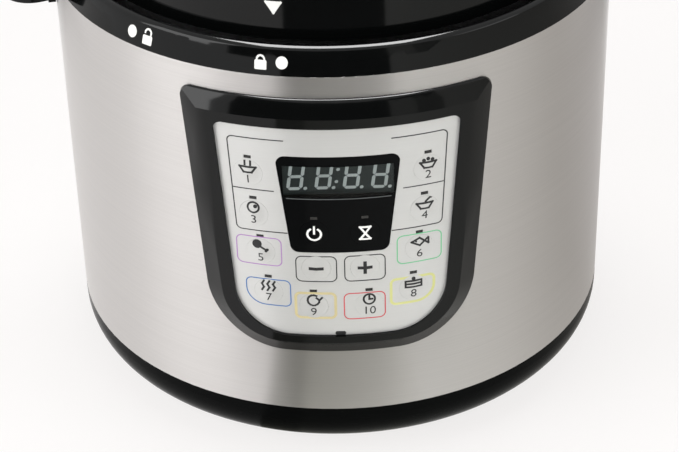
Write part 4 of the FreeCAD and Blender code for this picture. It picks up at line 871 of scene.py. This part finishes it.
class COOKER_OT_stage(bpy.types.Operator):
    """Sets the floor, the soft lamps and the camera"""
    bl_idname = "cooker.stage"
    bl_label = "Stage"

    def execute(self, context):
        self.floor()
        self.cards()
        self.lamps()
        self.world()
        self.camera()
        context.scene.view_settings.view_transform = "Standard"
        return {"FINISHED"}

    def floor(self):
        """White paper, which the camera and the gloss see a good part of the way to plain white."""
        deselect()
        bpy.ops.mesh.primitive_plane_add(size=8.0, location=(0, 0, 0))
        sheet = settle()
        sheet.name = sheet.data.name = "floor"
        tint = bpy.context.scene.cooker_colours.floor
        paper = finish("white paper sweep", tint, 3.0, 0.9, 0.02, 0.005)
        tree = paper.node_tree
        output = next(node for node in tree.nodes if node.type == "OUTPUT_MATERIAL")
        shader = next(node for node in tree.nodes if node.type == "BSDF_PRINCIPLED")
        glow = add_node(tree, "ShaderNodeEmission", {"Color": tint, "Strength": 1.0})
        share = add_node(tree, "ShaderNodeMath", {0: seen_directly(tree), 1: 0.82}, operation="MULTIPLY")
        mixed = add_node(tree, "ShaderNodeMixShader", {
            0: share.outputs[0], 1: shader.outputs["BSDF"], 2: glow.outputs["Emission"]})
        tree.links.new(mixed.outputs["Shader"], output.inputs["Surface"])
        sheet.data.materials.append(paper)

    def cards(self):
        """Cards on the floor that only gloss sees, which paint reflections: a dark room ahead, a shade at the right and
        a glowing bright wall behind, all painted into the gloss.
        """
        # Painted reflections: glowing greys that only the gloss sees, mid grey ahead, graded at the right, brighter
        # than white behind
        ahead = self.felt("front grey felt", 1.0, (
            (-20.0, "#8C8C84"), (-11.5, "#8C8C84"), (-9.5, "#BEBEB5"), (20.0, "#E8E8E2")))
        right = self.felt("graded grey felt", 1.0, (
            (20.0, "#F0F0EC"), (35.0, "#E2E2DD"), (58.0, "#D3D1CC"), (87.0, "#BFBCB7"), (117.0, "#CDCAC8"),
            (135.0, "#DEDCDA")))
        behind = self.felt("white felt", 1.35, ((-20.0, "#FFFFFF"), (180.0, "#FFFFFF")))
        # Painted dark reflection: a black sheet that only the gloss sees, ahead and high up
        dark = finish("black felt", to_linear("#0A0A0A"), 4.0, 0.9, 0.0, 0.02)
        self.fan("near_card", 0.02, 0.52, 0.0, lambda angle: abs(angle) < 20, ahead)
        self.fan("dark_card", 0.52, 1.6, 0.5, lambda angle: abs(angle) < 20, dark)
        self.fan("high_card", 1.58, 1.6, 0.9, lambda angle: abs(angle) < 40, dark, 0.5)
        self.fan("right_card", 0.02, 1.6, 1.3, lambda angle: 20 < angle < 135, right)
        self.fan("back_card", 0.02, 1.6, 1.3, lambda angle: abs(angle) > 135, behind)

    def fan(self, name, near, far, tall, inside, material, level=0.0005):
        """Part of a flat ring round the cooker, picked by the angle from the front, with its far edge turned up."""
        deselect()
        bpy.ops.mesh.primitive_circle_add(vertices=72, radius=far, location=(0, 0, level))
        card = settle()
        bpy.ops.object.mode_set(mode="EDIT")
        bpy.ops.mesh.primitive_circle_add(vertices=72, radius=near, location=(0, 0, level))
        bpy.ops.mesh.select_all(action="SELECT")
        bpy.ops.mesh.bridge_edge_loops()
        pick(card, lambda face: not inside(self.angle(face.calc_center_median())))
        bpy.ops.mesh.delete(type="FACE")
        bpy.ops.mesh.select_mode(type="EDGE")
        bpy.ops.mesh.select_all(action="DESELECT")
        mesh = bmesh.from_edit_mesh(card.data)
        for each in mesh.edges:
            each.select_set(all(vertex.co.xy.length > far * 0.99 for vertex in each.verts))
        bmesh.update_edit_mesh(card.data)
        if tall:
            bpy.ops.mesh.extrude_region_move(TRANSFORM_OT_translate={"value": (0, 0, tall)})
        bpy.ops.object.mode_set(mode="OBJECT")
        card.name = card.data.name = name
        card.data.materials.append(material)
        for kind in ("camera", "diffuse", "shadow", "transmission"):
            setattr(card, "visible_" + kind, False)

    def angle(self, spot):
        """Degrees from the front to a spot on the floor."""
        return math.degrees(math.atan2(spot.x, -spot.y))

    def felt(self, name, strength, stops):
        """A glowing grey for painted reflections, whose grey goes round with the angle from the front."""
        material = bpy.data.materials.new(name)
        material.use_nodes = True
        tree = material.node_tree
        tree.nodes.clear()
        place = add_node(tree, "ShaderNodeTexCoord")
        parts = add_node(tree, "ShaderNodeSeparateXYZ", {"Vector": place.outputs["Object"]})
        ahead = add_node(tree, "ShaderNodeMath", {0: parts.outputs["Y"], 1: -1.0}, operation="MULTIPLY")
        angle = add_node(tree, "ShaderNodeMath", {0: parts.outputs["X"], 1: ahead.outputs[0]}, operation="ARCTAN2")
        share = add_node(tree, "ShaderNodeMapRange", {
            "Value": angle.outputs[0], "From Min": math.radians(-30), "From Max": math.pi})
        ramp = add_node(tree, "ShaderNodeValToRGB", {"Fac": share.outputs["Result"]})
        elements = ramp.color_ramp.elements
        for turn, tint in stops:
            stop = elements.new((turn + 30) / 210)
            stop.color = to_linear(tint)
        elements.remove(elements[0])
        elements.remove(elements[-1])
        glow = add_node(tree, "ShaderNodeEmission", {"Color": ramp.outputs["Color"], "Strength": strength})
        add_node(tree, "ShaderNodeOutputMaterial", {"Surface": glow.outputs["Emission"]})
        return material

    def lamps(self):
        for name, place, size, power, mirrored, lit in (
                ("left softbox", (-1.5, -0.7, 1.2), 1.1, 14.0, True, True),
                ("right softbox", (1.6, -0.6, 1.1), 0.9, 5.0, True, True),
                ("top softbox", (0.0, 0.2, 1.9), 0.9, 13.0, False, True),
                ("top sheen", (0.0, 0.1, 1.9), 1.1, 95.0, True, False),
                ("front fill", (0.0, -1.9, 0.9), 1.6, 14.0, False, True)):
            deselect()
            aim = Vector((0, 0, 0.12)) - Vector(place)
            bpy.ops.object.light_add(type="AREA", location=place, rotation=aim.to_track_quat("-Z", "Y").to_euler())
            lamp = bpy.context.active_object
            lamp.name = name
            lamp.data.size = size
            lamp.data.energy = power
            lamp.visible_glossy = mirrored
            lamp.visible_diffuse = lit

    def world(self):
        world = bpy.data.worlds.new("studio")
        bpy.context.scene.world = world
        world.use_nodes = True
        tree = world.node_tree
        tree.nodes.clear()
        strength = add_node(tree, "ShaderNodeMapRange", {"Value": seen_directly(tree), "To Min": 0.42, "To Max": 1.0})
        glow = add_node(tree, "ShaderNodeBackground", {"Color": (1, 1, 1, 1), "Strength": strength.outputs["Result"]})
        add_node(tree, "ShaderNodeOutputWorld", {"Surface": glow.outputs["Background"]})

    def camera(self):
        """Stands where the picture was taken: about a metre off, looking down on the panel."""
        pitch, roll = math.radians(90.0 - 33.47), math.radians(-1.53)
        turn = Matrix.Rotation(pitch, 3, "X") @ Matrix.Rotation(roll, 3, "Z")
        deselect()
        bpy.ops.object.camera_add(location=(0.0, -0.9369, 0.6654), rotation=turn.to_euler())
        camera = bpy.context.active_object
        camera.data.lens = 111.7
        bpy.context.scene.camera = camera


STEPS = (COOKER_OT_finishes, COOKER_OT_key_domes, COOKER_OT_key_marks, COOKER_OT_panel_lines, COOKER_OT_display,
         COOKER_OT_lock_marks, COOKER_OT_soft_edges, COOKER_OT_probe_spring, COOKER_OT_stage)


class COOKER_PT_panel(bpy.types.Panel):
    """Lists the steps that dress the cooker"""
    bl_idname = "COOKER_PT_panel"
    bl_label = "Pressure cooker"
    bl_space_type = "VIEW_3D"
    bl_region_type = "UI"
    bl_category = "Cooker"

    def draw(self, context):
        for step in STEPS:
            self.layout.operator(step.bl_idname)


CLASSES = (CookerColours, CookerSizes) + STEPS + (COOKER_PT_panel,)


def register():
    for each in CLASSES:
        bpy.utils.register_class(each)
    bpy.types.Scene.cooker_colours = PointerProperty(type=CookerColours)
    bpy.types.Scene.cooker_sizes = PointerProperty(type=CookerSizes)


def unregister():
    del bpy.types.Scene.cooker_sizes
    del bpy.types.Scene.cooker_colours
    for each in reversed(CLASSES):
        bpy.utils.unregister_class(each)


def main():
    register()
    for step in STEPS:
        group, name = step.bl_idname.split(".")
        getattr(getattr(bpy.ops, group), name)()


if __name__ == "__main__":
    main()
